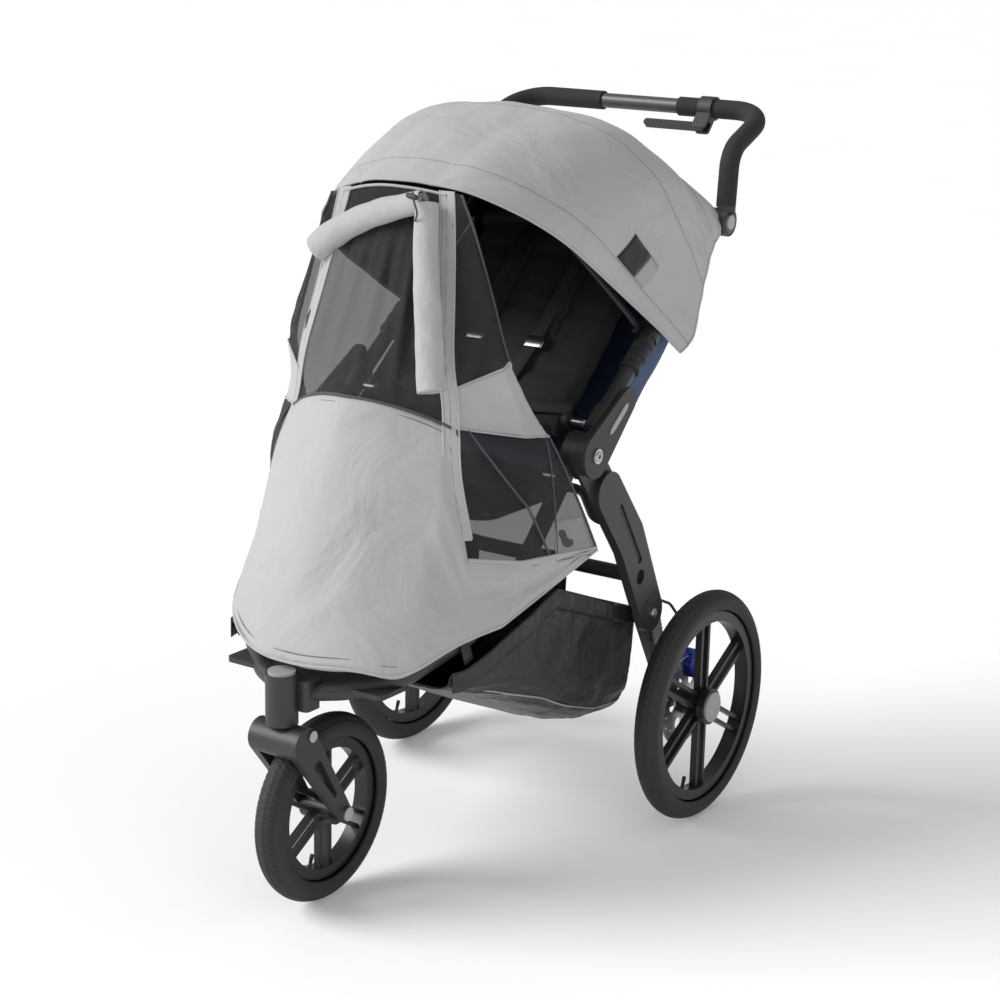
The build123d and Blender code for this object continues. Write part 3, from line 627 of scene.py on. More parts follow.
class STROLLER_OT_shield(bpy.types.Operator):
    """Sews the apron, the mesh windows, the grey bands, the zips and the piping of the shield"""
    bl_idname = "stroller.shield"
    bl_label = "Shield front"

    def execute(self, context):
        depth = sizes().ruffle / MM
        self.trim = sizes().binding_radius / MM
        apron = sheet_piece("apron_cloth", ruffled(apron_place, depth * 1.5, 7, 3, 1.0), 200, 44,
                            "shield", "chassis")
        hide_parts("shield_apron")
        declare_cloth(apron, 1.30, 0.36)
        window = sheet_piece("window_mesh", self.window, 150, 60, "mesh", "chassis",
                             wall=MESH_WALL)
        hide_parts("shield_window")
        declare_cloth(window, 0.40, 0.40)
        pieces = [apron, window]
        for side, sign in SIDES:
            pieces += self.side(side, sign, depth)
        pieces += self.front_trims()
        for obj in pieces:
            crumple_with_fold(obj)
        return {"FINISHED"}

    def window(self, a, b):
        share = 2 * a - 1
        low = waist_height(share)
        z = low + (1101 - 6 * share * share - low) * b
        fold = math.sin(math.pi * min(1, b * 1.15)) * (
            3.2 * math.sin(share * 15 + 2.2 * b) + 2.0 * math.sin(share * 31 - 3 * b))
        return wrap_lifted(share * zip_reach(z), z, fold - 2 * math.sin(math.pi * b))

    def side(self, side, sign, depth):
        wall = MESH_WALL
        low_mesh = ruffled(side_panel(binding_line, band_low, sign), depth * 1.3, 4, 4, 5.0)
        high_mesh = ruffled(side_panel(band_high, brow_line, sign), depth, 3, 5, 7.0)
        band = ruffled(side_panel(band_low, band_high, sign), depth * 0.8, 3, 2, 8.0)
        lower = sheet_piece(f"side_mesh_low_{side}", low_mesh, 60, 40, "mesh", "chassis",
                            wall)
        upper = sheet_piece(f"side_mesh_high_{side}", high_mesh, 30, 50, "mesh", "chassis",
                            wall)
        panel = sheet_piece(f"side_band_{side}", band, 40, 16, "shield", "chassis")
        declare_cloth(lower, 0.42, 0.24)
        declare_cloth(upper, 0.16, 0.32)
        declare_cloth(panel, 0.24, 0.14)
        net = side_panel(lambda a: binding_line(0.60 + 0.36 * a),
                         lambda a: between(binding_line(0.68 + 0.29 * a), band_low(0.68 + 0.29 * a), 0.30),
                         sign)
        net_piece = sheet_piece(f"side_net_{side}", lambda a, b: lifted(net, a, b, 1.5 * sign), 20, 12,
                                "light net", "chassis", wall)
        declare_cloth(net_piece, 0.16, 0.10)

        def path(line, count=60):
            return [line(k / count) for k in range(count + 1)]

        lines = {
            "zip_front": ([(zip_reach(z) - 12, z) for z in np.linspace(ZIP_FOOT, BROW, 90)], 1.7, "shield"),
            "zip_teeth": ([(zip_reach(z) - 1, z) for z in np.linspace(600, 1096, 90)], 0.7, "trim"),
            "zip_rear": ([(zip_reach(z) + 12, z) for z in np.linspace(596, BROW, 90)], 1.7, "shield"),
            "binding": (path(binding_line), 2.6, "shield"),
            "binding_stitch": ([(r, z - 9) for r, z in path(binding_line)], 0.5, "trim"),
            "band_low": (path(band_low), 1.4, "shield"),
            "band_high": (path(band_high), 1.4, "shield"),
            "band_rear": (path(lambda t: between(band_low(1), band_high(1), t), 20), 2.0, "shield"),
            "mesh_rear_high": (path(lambda t: between(band_high(1), brow_line(1), t)), 2.2, "trim"),
            "mesh_rear_low": (path(lambda t: between(binding_line(1), band_low(1), t)), 2.0, "trim"),
            "piping_front": (path(lambda t: between(band_low(0.15), binding_line(0.55), t)), 2.0, "trim"),
            "piping_rear": (path(lambda t: between(band_low(0.95), binding_line(0.62), t)), 1.6, "trim"),
        }
        def tape(a, b):
            z = 594 + 506 * b
            return wrap_lifted(sign * (zip_reach(z) - 12 + 24 * a), z, 1.3)
        zip_tape = sheet_piece(f"zip_tape_{side}", tape, 8, 90, "shield", "chassis", wall)
        declare_cloth(zip_tape, 0.026, 0.62)
        out = [lower, upper, panel, net_piece, zip_tape]
        for name, (route, radius, kind) in lines.items():
            out.append(self.piping(f"{name}_{side}", [(sign * r, z) for r, z in route], radius, kind))
        return out

    def piping(self, name, route, radius, kind, lift=1.0):
        path = [wrap_lifted(r, z, lift) for r, z in route]
        ups = [wrap_lifted(r, z, lift + 5) - p for (r, z), p in zip(route, path)]
        return sweep(name, path, round_section(radius, 8), lambda i: ups[i], kind, "chassis")

    def front_trims(self):
        shares = np.linspace(-1, 1, 120)
        waist = [(s * zip_reach(WAIST), waist_height(s)) for s in shares]
        end = rear_reach(BINDING_REAR) + 2
        reaches = np.linspace(-end, end, 260)
        hem = [(r, hem_height(r)) for r in reaches]
        out = [self.piping("waist_piping", waist, 2.6, "trim"),
               self.piping("waist_stitch", [(r, z - 10) for r, z in waist], 0.5, "trim", 0.4),
               self.piping("hem_edge", hem, 2.6, "shield", 0.0),
               self.piping("hem_stitch", [(r, z + 14) for r, z in hem], 0.5, "trim", 0.8)]
        top = [(s * zip_reach(BROW), BROW - 6 * s * s) for s in shares]
        out.append(self.piping("window_top_band", top, 2.4, "shield"))
        out.append(self.underflap())
        return out

    def underflap(self):
        """The turned-under strip of the apron's front hem."""
        def place(a, b):
            reach = 560 * (a - 0.5)
            z = hem_height(reach)
            p = wrap_point(reach, z)
            inward = Vector((-p.x, -420 - p.y + 200, 0)).normalized()
            return p + inward * 52 * b + Vector((0, 0, -16 * math.sin(math.pi * b * 0.6)))
        flap = sheet_piece("apron_underflap", ruffled(place, 2.5, 6, 2, 4.0), 70, 10, "shield",
                           "chassis")
        declare_cloth(flap, 0.60, 0.065)
        return flap


# ---------- rolled flaps ----------
class STROLLER_OT_rolls(bpy.types.Operator):
    """Rolls up the sun flap under the brow and beside the window, with its toggle"""
    bl_idname = "stroller.rolls"
    bl_label = "Rolled flaps"

    def execute(self, context):
        r = sizes().roll_radius / MM
        across = line_through(((-134, -224, 992), (-98, -230, 1018), (-20, -234, 1056), (72, -231, 1084)))
        down = line_through(((76, -230, 1082), (94, -256, 1000), (117, -280, 920), (137, -300, 842),
                             (144, -306, 818)))
        top = self.roll("rolled_flap_top", across, r, (0, -1, 0), 0.0)
        side = self.roll("rolled_flap_side", down, r * 1.15, (0.5, -1, 0), 4.0)
        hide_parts("flap_roll")
        pieces = [top, side]
        declare_cloth(top, 0.26, 0.24)
        declare_cloth(side, 0.26, 0.24)
        loop = line_through(((66, -250, 1100), (74, -258, 1088), (80, -258, 1072), (74, -254, 1058)), 3)
        pieces.append(sweep("toggle_loop", loop, round_section(1.6, 8), lambda i: (1, 0, 0), "trim",
                            "chassis"))
        bead = [Vector((58, -256, 1096)) + Vector((24 * t, -2 * t, -3 * t)) for t in np.linspace(0, 1, 12)]
        pieces.append(self.lathe_toggle("toggle", bead))
        for obj in pieces:
            crumple_with_fold(obj)
        return {"FINISHED"}

    def roll(self, name, path, radius, up, seed):
        """A spiral of cloth along a path, looser towards its ends."""
        turns = 2.6

        def place(a, b):
            k = b * (len(path) - 1)
            i = min(int(k), len(path) - 2)
            at = path[i].lerp(path[i + 1], k - i)
            along = (path[i + 1] - path[i]).normalized()
            side = along.cross(Vector(up)).normalized()
            lift = side.cross(along)
            loose = 1 + 0.10 * noise.noise(Vector((b * 7, a * 3, seed)))
            turn = 2 * math.pi * turns * a + 1.2
            size = radius * (0.30 + 0.70 * a) * loose * (1.32 - 0.34 * b if seed == 0 else 0.9 + 0.2 * b)
            return at + (side * math.cos(turn) * 1.1 + lift * math.sin(turn) * 0.8) * size
        return sheet_piece(name, place, 84, 60, "shield", "chassis")

    def lathe_toggle(self, name, path):
        sections, n = [], 14
        for i, p in enumerate(path):
            size = 4.5 * math.sqrt(max(0.05, 1 - (2 * i / (len(path) - 1) - 1) ** 4))
            sections += [p + Vector((0, math.cos(2 * math.pi * k / n), math.sin(2 * math.pi * k / n))) * size
                         for k in range(n)]
        faces = ring_faces(len(path), n)
        return piece(name, sections, faces, "plastic", "chassis")


# ---------- seat bucket and basket ----------
class STROLLER_OT_seat_shell(bpy.types.Operator):
    """Hangs the cloth bucket behind the seat, with its seams"""
    bl_idname = "stroller.seat_shell"
    bl_label = "Seat shell"

    def execute(self, context):
        soft = ruffled(self.place, sizes().ruffle / MM * 0.8, 6, 5, 12.0)
        shell = sheet_piece("seat_shell_cloth", soft, 96, 56, "shell", "upper_frame")
        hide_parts("seat_shell")
        declare_cloth(shell, 1.02, 0.52)
        edge = hood_place(4.0)
        for name, kind, inset in (("rear_panel_cloth", "shell", 0.0), ("rear_panel_lining", "lining", 5.0)):
            def closing(a, b, inset=inset):
                top, foot = edge(a, 0.995), self.place(a, 1.0)
                p = top.lerp(foot, b) + Vector((0, 16 * math.sin(math.pi * b) * math.sin(math.pi * a), 0))
                return p - Vector((p.x * inset / 230, inset, 0))
            panel = sheet_piece(name, ruffled(closing, 2.0, 8, 2, 14.0), 90, 24, kind, "upper_frame")
            declare_cloth(panel, 0.95, 0.18)
        for side, a in (("left", 0.0), ("right", 1.0)):
            rail = [soft(a, k / 60) for k in range(61)]
            sweep(f"shell_rail_{side}", rail, round_section(4.0, 10), lambda i: (1, 0, 0), "shell",
                  "upper_frame")
        for n, a in enumerate((0.30, 0.70)):
            seam = [lifted(soft, a, k / 60, 0.8) for k in range(61)]
            sweep(f"shell_seam_{n}", seam, round_section(1.3, 8), lambda i: (0, 1, -1), "trim",
                  "upper_frame")
        return {"FINISHED"}

    @staticmethod
    def place(a, b):
        rail = Vector((0, 700)).lerp(Vector((346, 985)), b)
        belly = along_profile(BELLY, b)
        turn = math.pi * a
        power = 2 / 9
        x = 225.5 * math.copysign(abs(math.cos(turn)) ** power, math.cos(turn))
        depth = abs(math.sin(turn)) ** power
        y, z = rail.lerp(belly, depth)
        return Vector((x, y, z))


class STROLLER_OT_basket(bpy.types.Operator):
    """Lofts the nylon basket with its collar, piping and corner tabs"""
    bl_idname = "stroller.basket"
    bl_label = "Basket"

    def execute(self, context):
        soft = ruffled(self.place, 3.4, 15, 7, 21.0, -1)
        basket = sheet_piece("basket_cloth", soft, 150, 110, "basket", "chassis")
        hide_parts("basket")
        declare_cloth(basket, 1.00, 0.75)
        collar = sheet_piece("basket_collar", lambda a, b: self.collar(soft, a, b), 150, 6, "basket",
                             "chassis", wall=0.0022)
        declare_cloth(collar, 1.15, 0.05)
        pieces = [basket, collar]
        for side, a in (("left", 0.225), ("right", 0.775)):
            route = [lifted(soft, a, k / 80, -1.2) for k in range(3, 66)]
            pieces.append(sweep(f"basket_piping_{side}", route, round_section(1.6, 8),
                                lambda i: (0, 0, 1), "reflective", "chassis"))
        for side, sign in SIDES:
            tab = line_through(((sign * 90, 137, 396), (sign * 90, 139, 440), (sign * 90, 139, 462)))
            pieces.append(sweep(f"basket_tab_{side}", tab, strap_section(40, 2), lambda i: (0, 1, 0),
                                "webbing", "chassis"))
            strap = line_through(((sign * 218, -300, 414), (sign * 214, -306, 440), (sign * 208, -300, 452)))
            pieces.append(sweep(f"basket_hanger_{side}", strap, strap_section(22, 2),
                                lambda i, g=sign: (g, 0, 0), "webbing", "chassis"))
        for obj in pieces:
            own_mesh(obj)
        return {"FINISHED"}

    @staticmethod
    def rim_height(y):
        return float(np.interp(y, [p[0] for p in BASKET_RIM], [p[1] for p in BASKET_RIM]))

    def place(self, a, b):
        """A U section at each step from the front to the rear, the last steps making the end wall."""
        if b < 0.86:
            y, floor = along_profile(BASKET_FLOOR, b / 0.86)
        else:
            t = (b - 0.86) / 0.14
            y, floor = 166 - 22 * t, 186 + 197 * t
        rim = self.rim_height(y)
        turn = math.pi * a
        power = 2 / 5
        half = 231 - 16 * (1 - min(1, b * 6)) ** 2
        across = math.copysign(abs(math.cos(turn)) ** power, math.cos(turn))
        depth = abs(math.sin(turn)) ** power
        bulge = -6 * math.sin(math.pi * min(1, depth)) * (1 if abs(across) > 0.9 else 0)
        sag = 7 * (1 - across * across) * min(1, b * 3) * (1 if b < 0.86 else 1 - (b - 0.86) / 0.14)
        return Vector((across * (half + bulge), y, rim + (floor - rim) * depth - sag * 0.3))

    def collar(self, soft, a, b):
        """A doubled band round the rim: along the left side, across the rear and back along the right."""
        if a < 0.36:
            base, out = soft(0, a / 0.36 * 0.86), Vector((1, 0, 0))
        elif a < 0.64:
            t = (a - 0.36) / 0.28
            base, out = Vector((231 - 462 * t, 144, 391)), Vector((0, 0.15, 0))
        else:
            base, out = soft(1, (1 - a) / 0.36 * 0.86), Vector((-1, 0, 0))
        return base + out * 1.2 + Vector((0, 0, 2 - 32 * b))


# ---------- seat pads ----------
def pad_mesh(name, width, length, depth, matrix, channels=(), kind="seat", body="chassis",
             notch=None):
    """A crowned pad: its long way is local Y, with sewn channels across it at the given shares."""
    nu, nv = 44, 56
    points, index = [], {}

    def outline(u, v):
        px, py = 2 * u - 1, 2 * v - 1
        pinch = 1 - 0.02 * (1 - px * px) * abs(py) ** 3 - 0.02 * (1 - py * py) * abs(px) ** 3
        k = 0.10
        x = px * math.sqrt(1 - k * py * py) * width / 2 * pinch
        y = py * math.sqrt(1 - k * px * px) * length / 2 * pinch
        return x, y

    def thick(u, v):
        edge = (1 - abs(2 * u - 1) ** 8) * (1 - abs(2 * v - 1) ** 8)
        sewn = 1.0
        for c in channels:
            sewn -= 0.55 * math.exp(-((v - c) * length / 9) ** 2)
        return depth / 2 * max(0.0, edge) ** 0.5 * max(sewn, 0.3)

    for top in (1, -1):
        for j in range(nv + 1):
            for i in range(nu + 1):
                u, v = i / nu, j / nv
                rim = i in (0, nu) or j in (0, nv)
                key = (i, j, 0 if rim else top)
                if key in index:
                    continue
                x, y = outline(u, v)
                if notch and abs(x) < notch[0] and y < -length / 2 + notch[1]:
                    y = -length / 2 + notch[1]
                lift = thick(u, v) if not rim else 0
                index[key] = len(points)
                points.append(matrix @ Vector((x, y, depth / 2 + top * lift * (1 if top > 0 else 0.9))))
    faces = []
    for top in (1, -1):
        for j in range(nv):
            for i in range(nu):
                ring = []
                for p, q in ((i, j), (i + 1, j), (i + 1, j + 1), (i, j + 1)):
                    rim = p in (0, nu) or q in (0, nv)
                    ring.append(index[(p, q, 0 if rim else top)])
                faces.append(tuple(ring if top > 0 else ring[::-1]))
    return piece(name, points, faces, kind, None)


def fill_pad(obj, voxel=0.006):
    """Blows a pad up as cloth, with each point's move held to the swell setting."""
    scene, cap = bpy.context.scene, sizes().pad_swell
    remesh = obj.modifiers.new("even", "REMESH")
    remesh.mode, remesh.voxel_size, remesh.use_smooth_shade = "VOXEL", voxel, True
    settle(obj)
    rest = np.array([v.co for v in obj.data.vertices])
    cloth = obj.modifiers.new("cloth", "CLOTH")
    cloth.settings.use_pressure = True
    cloth.settings.uniform_pressure_force = 4
    cloth.settings.effector_weights.gravity = 0
    cloth.settings.quality = 4
    cloth.settings.shrink_min = -0.02
    for step in range(1, 21):
        scene.frame_set(step)
    settle(obj)
    scene.frame_set(1)
    now = np.array([v.co for v in obj.data.vertices])
    move = now - rest
    length = np.linalg.norm(move, axis=1, keepdims=True)
    move *= np.minimum(1, cap / np.maximum(length, 1e-9))
    obj.data.vertices.foreach_set("co", (rest + move).astype(np.float32).ravel())
    obj.data.update()
    smooth = obj.modifiers.new("finer", "SUBSURF")
    smooth.levels = smooth.render_levels = 1
    settle(obj)
    for face in obj.data.polygons:
        face.use_smooth = True
    return obj


def back_matrix():
    """Local axes of the seat back: X across, Y up the back, Z towards the child."""
    turn = math.radians(46.5)
    across, up = Vector((1, 0, 0)), Vector((0, math.cos(turn), math.sin(turn)))
    out = Vector((0, -math.sin(turn), math.cos(turn)))
    m = Matrix((across, up, out)).transposed().to_4x4()
    m.translation = Vector((0, 14, 668))
    return m


class STROLLER_OT_seat(bpy.types.Operator):
    """Fills the seat pads and lays the harness over them"""
    bl_idname = "stroller.seat"
    bl_label = "Seat and harness"

    def execute(self, context):
        low, high = (Vector(c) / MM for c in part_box("seat_cushion"))
        width, length, depth = high - low
        flat = Matrix.Translation(((low.x + high.x) / 2, (low.y + high.y) / 2, low.z))
        cushion = fill_pad(pad_mesh("seat_cushion_pad", width - 14, length - 12, depth - 4, flat,
                                    (0.36, 0.68), notch=(34, 36)))
        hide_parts("seat_cushion")
        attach(cushion, "chassis")
        back = back_matrix()
        middle = back @ Matrix.Translation((0, 225, 1))
        rest = fill_pad(pad_mesh("seat_back_pad", 366, 436, 23, middle, (0.28, 0.55, 0.8)))
        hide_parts("seat_back")
        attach(rest, "seat_backrest")
        for side, sign in SIDES:
            spot = back @ Matrix.Translation((sign * 62, 450 * 0.62, 27.5))
            pad = fill_pad(pad_mesh(f"shoulder_pad_{side}", 47, 188, 9, spot, (0.2, 0.8)), 0.004)
            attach(pad, "seat_backrest")
            if sign > 0:
                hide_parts("shoulder_pads")
            self.harness(side, sign, back)
            self.hinge_ear(side, sign)
        self.crotch()
        self.bolster(back)
        return {"FINISHED"}

    def harness(self, side, sign, back):
        up = (back.to_3x3() @ Vector((0, 0, 1)))
        strap = [back @ Vector(p) for p in ((sign * 62, 410, 27), (sign * 62, 372, 40), (sign * 61, 280, 42),
                                           (sign * 56, 190, 41), (sign * 40, 110, 36), (sign * 30, 60, 34))]
        sweep(f"harness_strap_{side}", line_through(strap), strap_section(25, 1.8), lambda i: up, "webbing",
              "seat_backrest")
        slide = [back @ Vector((sign * 58 + x, 172, 43)) for x in np.linspace(-17, 17, 10)]
        sweep(f"strap_adjuster_{side}", slide, strap_section(22, 3.4), lambda i: up, "steel",
              "seat_backrest")
        waist = [back @ Vector(p) for p in ((sign * 172, 70, 27), (sign * 120, 62, 34), (sign * 52, 52, 35))]
        sweep(f"waist_strap_{side}", line_through(waist), strap_section(25, 1.8), lambda i: up, "webbing",
              "seat_backrest")

    def hinge_ear(self, side, sign):
        """The moulded ear that carries the seat back on its pin."""
        pivot, root = Vector((0, *BACK_PIN)), Vector((0, 30.7, 699.3))
        along = (root - pivot).normalized()
        n, points = 40, []
        for x in (sign * 181.5, sign * 190.5):
            for k in range(n):
                t = 2 * math.pi * k / n
                centre = pivot if math.cos(t) > 0 else root
                y = centre.y - along.y * math.cos(t) * 13 + along.z * math.sin(t) * 13
                z = centre.z - along.z * math.cos(t) * 13 - along.y * math.sin(t) * 13
                points.append((x, y, z))
        faces = [(k, (k + 1) % n, n + (k + 1) % n, n + k) for k in range(n)]
        faces += [tuple(range(n - 1, -1, -1)), tuple(range(n, 2 * n))]
        ear = piece(f"back_ear_{side}", points, faces, "plastic", "seat_backrest")
        for face in ear.data.polygons:
            face.use_smooth = False
        pin = [Vector((sign * x, *BACK_PIN)) for x in (185, 200, 215, 222)]
        sweep(f"back_pin_{side}", pin, round_section(6, 20), lambda i: (0, 0, 1), "steel", "seat_backrest")

    def crotch(self):
        low, high = (Vector(c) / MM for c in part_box("harness_buckle"))
        y = (low.y + high.y) / 2
        path = line_through(((0, y, low.z + 1), (0, y + 1, low.z + 22), (0, y, low.z + 44)))
        strap = sweep("crotch_strap", path, strap_section(30, 3), lambda i: (0, 1, 0), "webbing", "chassis")
        body = [Vector((0, y, low.z + 40 + 40 * t)) for t in np.linspace(0, 1, 16)]
        points, n = [], 24
        for i, p in enumerate(body):
            t = i / (len(body) - 1)
            wide = 22.5 * (0.82 + 0.18 * math.sin(math.pi * t)) * (0.93 if i in (0, 15) else 1)
            deep = 8.4 * (0.75 + 0.25 * math.sin(math.pi * t)) * (0.85 if i in (0, 15) else 1)
            for k in range(n):
                c, s = math.cos(2 * math.pi * k / n), math.sin(2 * math.pi * k / n)
                points.append(p + Vector((wide * math.copysign(abs(c) ** 0.5, c),
                                          deep * math.copysign(abs(s) ** 0.5, s), 0)))
        faces = ring_faces(len(body), n)
        buckle = piece("buckle_body", points, faces, "plastic", "chassis")
        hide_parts("harness_buckle")
        button = [Vector((0, y - 8.6 - d, low.z + 60)) for d in (0, 1.0, 1.6)]
        sweep("buckle_button", button, round_section(8.5, 24), lambda i: (0, 0, 1), "caps", "chassis")
        return strap

    def bolster(self, back):
        """The soft head roll at the top of the seat back."""
        path = line_through([back @ Vector(p) for p in ((-168, 412, 26), (-80, 424, 33), (0, 427, 35),
                                                       (80, 424, 33), (168, 412, 26))])
        up = back.to_3x3() @ Vector((0, 0, 1))
        roll = sweep("head_roll", path, round_section(11, 18, 0.8), lambda i: up, "seat", "seat_backrest")


# ---------- tyres and running gear ----------
class STROLLER_OT_tyres(bpy.types.Operator):
    """Moulds the three air tyres with their tread, side ribs and valves"""
    bl_idname = "stroller.tyres"
    bl_label = "Tyres"

    def execute(self, context):
        for node, body in (("front_tyre", "front_wheel"), ("rear_tyre_left", "rear_wheel_left"),
                           ("rear_tyre_right", "rear_wheel_right")):
            low, high = (Vector(c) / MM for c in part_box(node))
            centre, outer, half = (low + high) / 2, (high.z - low.z) / 2, (high.x - low.x) / 2
            tyre = self.tyre(node + "_rubber", centre, outer, half, RIM_RADIUS[node], body)
            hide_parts(node)
            self.valve(node + "_valve", centre, RIM_RADIUS[node], body)
        return {"FINISHED"}

    def tyre(self, name, centre, outer, half, rim, body):
        s = sizes()
        blocks, per, profile = s.tread_blocks, 6, 44
        around = blocks * per
        depth = s.tread_depth / MM
        points = []
        for i in range(around):
            turn = 2 * math.pi * i / around
            phase = i % per
            for k in range(profile + 1):
                t = -1 + 2 * k / profile
                angle = t * math.radians(143)
                r = outer - half + half * math.cos(angle)
                x = half * math.sin(angle) * 0.985
                grooved = 0.0
                if abs(angle) < math.radians(62):
                    row = int((angle + math.radians(62)) / math.radians(124) * 9)
                    lag = (phase + 2 * (row % 2) + row) % per
                    if lag == 0 or (k % 5 == 0 and abs(t) < 0.4):
                        grooved = depth
                elif abs(abs(angle) - math.radians(84)) < math.radians(3.6):
                    grooved = -0.7
                if abs(angle) > math.radians(128):
                    r, x = rim + 4, math.copysign(12.8, x)
                r -= grooved * math.cos(angle)
                x -= grooved * math.sin(angle)
                points.append((centre.x + x, centre.y + r * math.cos(turn), centre.z + r * math.sin(turn)))
        n = profile + 1
        faces = [(i * n + k, i * n + k + 1, ((i + 1) % around) * n + k + 1, ((i + 1) % around) * n + k)
                 for i in range(around) for k in range(profile)]
        return piece(name, points, faces, "rubber", body)

    def valve(self, name, centre, rim, body):
        turn = math.radians(250)
        out = Vector((0, math.cos(turn), math.sin(turn)))
        path = [centre + out * (rim - 16 - d) for d in (0, 2, 2.1, 14, 14.1, 22)]
        points, n = [], 14
        for p, r in zip(path, (4.2, 4.2, 3.0, 3.0, 3.6, 3.2)):
            side = Vector((1, 0, 0))
            lift = out.cross(side)
            points += [p + (side * math.cos(2 * math.pi * k / n) + lift * math.sin(2 * math.pi * k / n)) * r
                       for k in range(n)]
        faces = ring_faces(len(path), n)
        piece(name, points, faces, "rubber", body)


class STROLLER_OT_fittings(bpy.types.Operator):
    """Adds the small moulded strips, wraps, screws and shock sleeves on the frame"""
    bl_idname = "stroller.fittings"
    bl_label = "Fittings"

    def execute(self, context):
        hub, pivot = Vector((0, *HUB)), Vector((0, *HANDLE_PIVOT))
        along = (pivot - hub).normalized()
        square = Vector((0, along.z, -along.y))
        for side, sign in SIDES:
            strip = [hub + along * d + Vector((sign * 272.2, 0, 0)) for d in np.linspace(46, 112, 12)]
            self.strip(f"cover_strip_{side}", strip, sign, "caps", "upper_frame", "cap_grey", 11, 2.4)
            self.wrap(f"tube_wrap_{side}", hub, along, square, sign)
            self.screw(f"hub_screw_{side}", Vector((sign * 274.6, *HUB)), sign, 8, "chassis")
            self.screw(f"housing_screw_{side}", Vector((sign * 267.3, 165, 382)), sign, 7, "rear_frame")
            self.shock(f"shock_sleeve_{side}", sign)
            cap = [Vector((sign * x, *HANDLE_PIVOT)) for x in (265.4, 266.2)]
            sweep(f"handle_ring_{side}", cap, round_section(18, 36), lambda i: (0, 0, 1), "bar", "handlebar")
        self.spokes_trim()
        return {"FINISHED"}

    def strip(self, name, path, sign, kind, body, slot, width, depth):
        sections, n = [], 16
        count = len(path)
        for i, p in enumerate(path):
            edge = abs(2 * i / (count - 1) - 1)
            taper = math.sqrt(max(0.06, 1 - edge ** 6))
            forward = (path[min(i + 1, count - 1)] - path[max(i - 1, 0)]).normalized()
            out = Vector((sign, 0, 0))
            side = forward.cross(out)
            for k in range(n):
                c, s = math.cos(2 * math.pi * k / n), math.sin(2 * math.pi * k / n)
                sections.append(p + side * width / 2 * taper * math.copysign(abs(c) ** 0.6, c)
                                + out * depth / 2 * math.copysign(abs(s) ** 0.8, s) * taper)
        faces = ring_faces(count, n)
        return piece(name, sections, faces, kind, body)

    def wrap(self, name, hub, along, square, sign):
        """The cloth sleeve that ties the seat bucket to its tube."""
        centre = Vector((sign * 240, 0, 0))

        def place(a, b):
            at = hub + along * (176 + 62 * b) + centre
            turn = 2 * math.pi * a
            size = 15.2 + 1.3 * noise.noise(Vector((a * 6, b * 7, sign * 3)))
            return at + (square * math.cos(turn) + Vector((1, 0, 0)) * math.sin(turn)) * size
        sleeve = sheet_piece(name, place, 40, 22, "seat", "upper_frame")
        declare_cloth(sleeve, 0.10, 0.064)
        for n, d in enumerate((182, 206, 232)):
            at = hub + along * d + centre
            ring = [at + (square * math.cos(t) + Vector((1, 0, 0)) * math.sin(t)) * 16.6
                    for t in np.linspace(0, 2 * math.pi, 33)[:-1]]
            sweep(f"{name}_tie_{n}", ring, strap_section(7, 1.6), lambda i: ring[i] - at, "webbing",
                  "upper_frame", closed=True)

    def screw(self, name, at, sign, radius, body):
        points, n = [], 24
        for r, d in ((radius, 0), (radius, 1.2), (radius * 0.86, 1.9), (radius * 0.45, 2.0),
                     (radius * 0.45, 0.6), (radius * 0.05, 0.6)):
            sides = 6 if r < radius * 0.5 else n
            for k in range(n):
                t = 2 * math.pi * (k * sides // n) / sides
                points.append(at + Vector((sign * d, r * math.cos(t), r * math.sin(t))))
        faces = ring_faces(6, n, ends=False)
        return piece(name, points, faces, "steel", body)

    def shock(self, name, sign):
        """A ribbed sleeve over the spring between the housing and the swing arm."""
        top, foot = Vector((sign * 254, 190, 366)), Vector((sign * 254, 206, 318))
        along = foot - top
        path = [top + along * t for t in np.linspace(0, 1, 42)]
        points, n = [], 20
        side = Vector((1, 0, 0))
        lift = along.normalized().cross(side)
        for i, p in enumerate(path):
            r = 9.0 + 1.6 * math.sin(2 * math.pi * i / 6)
            points += [p + (side * math.cos(2 * math.pi * k / n) + lift * math.sin(2 * math.pi * k / n)) * r
                       for k in range(n)]
        faces = ring_faces(len(path), n)
        piece(name, points, faces, "caps", "suspension_left" if sign > 0 else "suspension_right")

    def spokes_trim(self):
        """A thin bright line where the cap of each rear hub meets its flange."""
        for side, sign in SIDES:
            low, high = (Vector(c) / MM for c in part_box("hub_button_" + side))
            centre = (low + high) / 2
            x = high.x - 0.2 if sign > 0 else low.x + 0.2
            ring = [Vector((x, centre.y + 20 * math.cos(t), centre.z + 20 * math.sin(t)))
                    for t in np.linspace(0, 2 * math.pi, 49)[:-1]]
            sweep(f"cap_line_{side}", ring, round_section(0.7, 8), lambda i: (1, 0, 0), "caps",
                  "hub_release_" + side, closed=True)


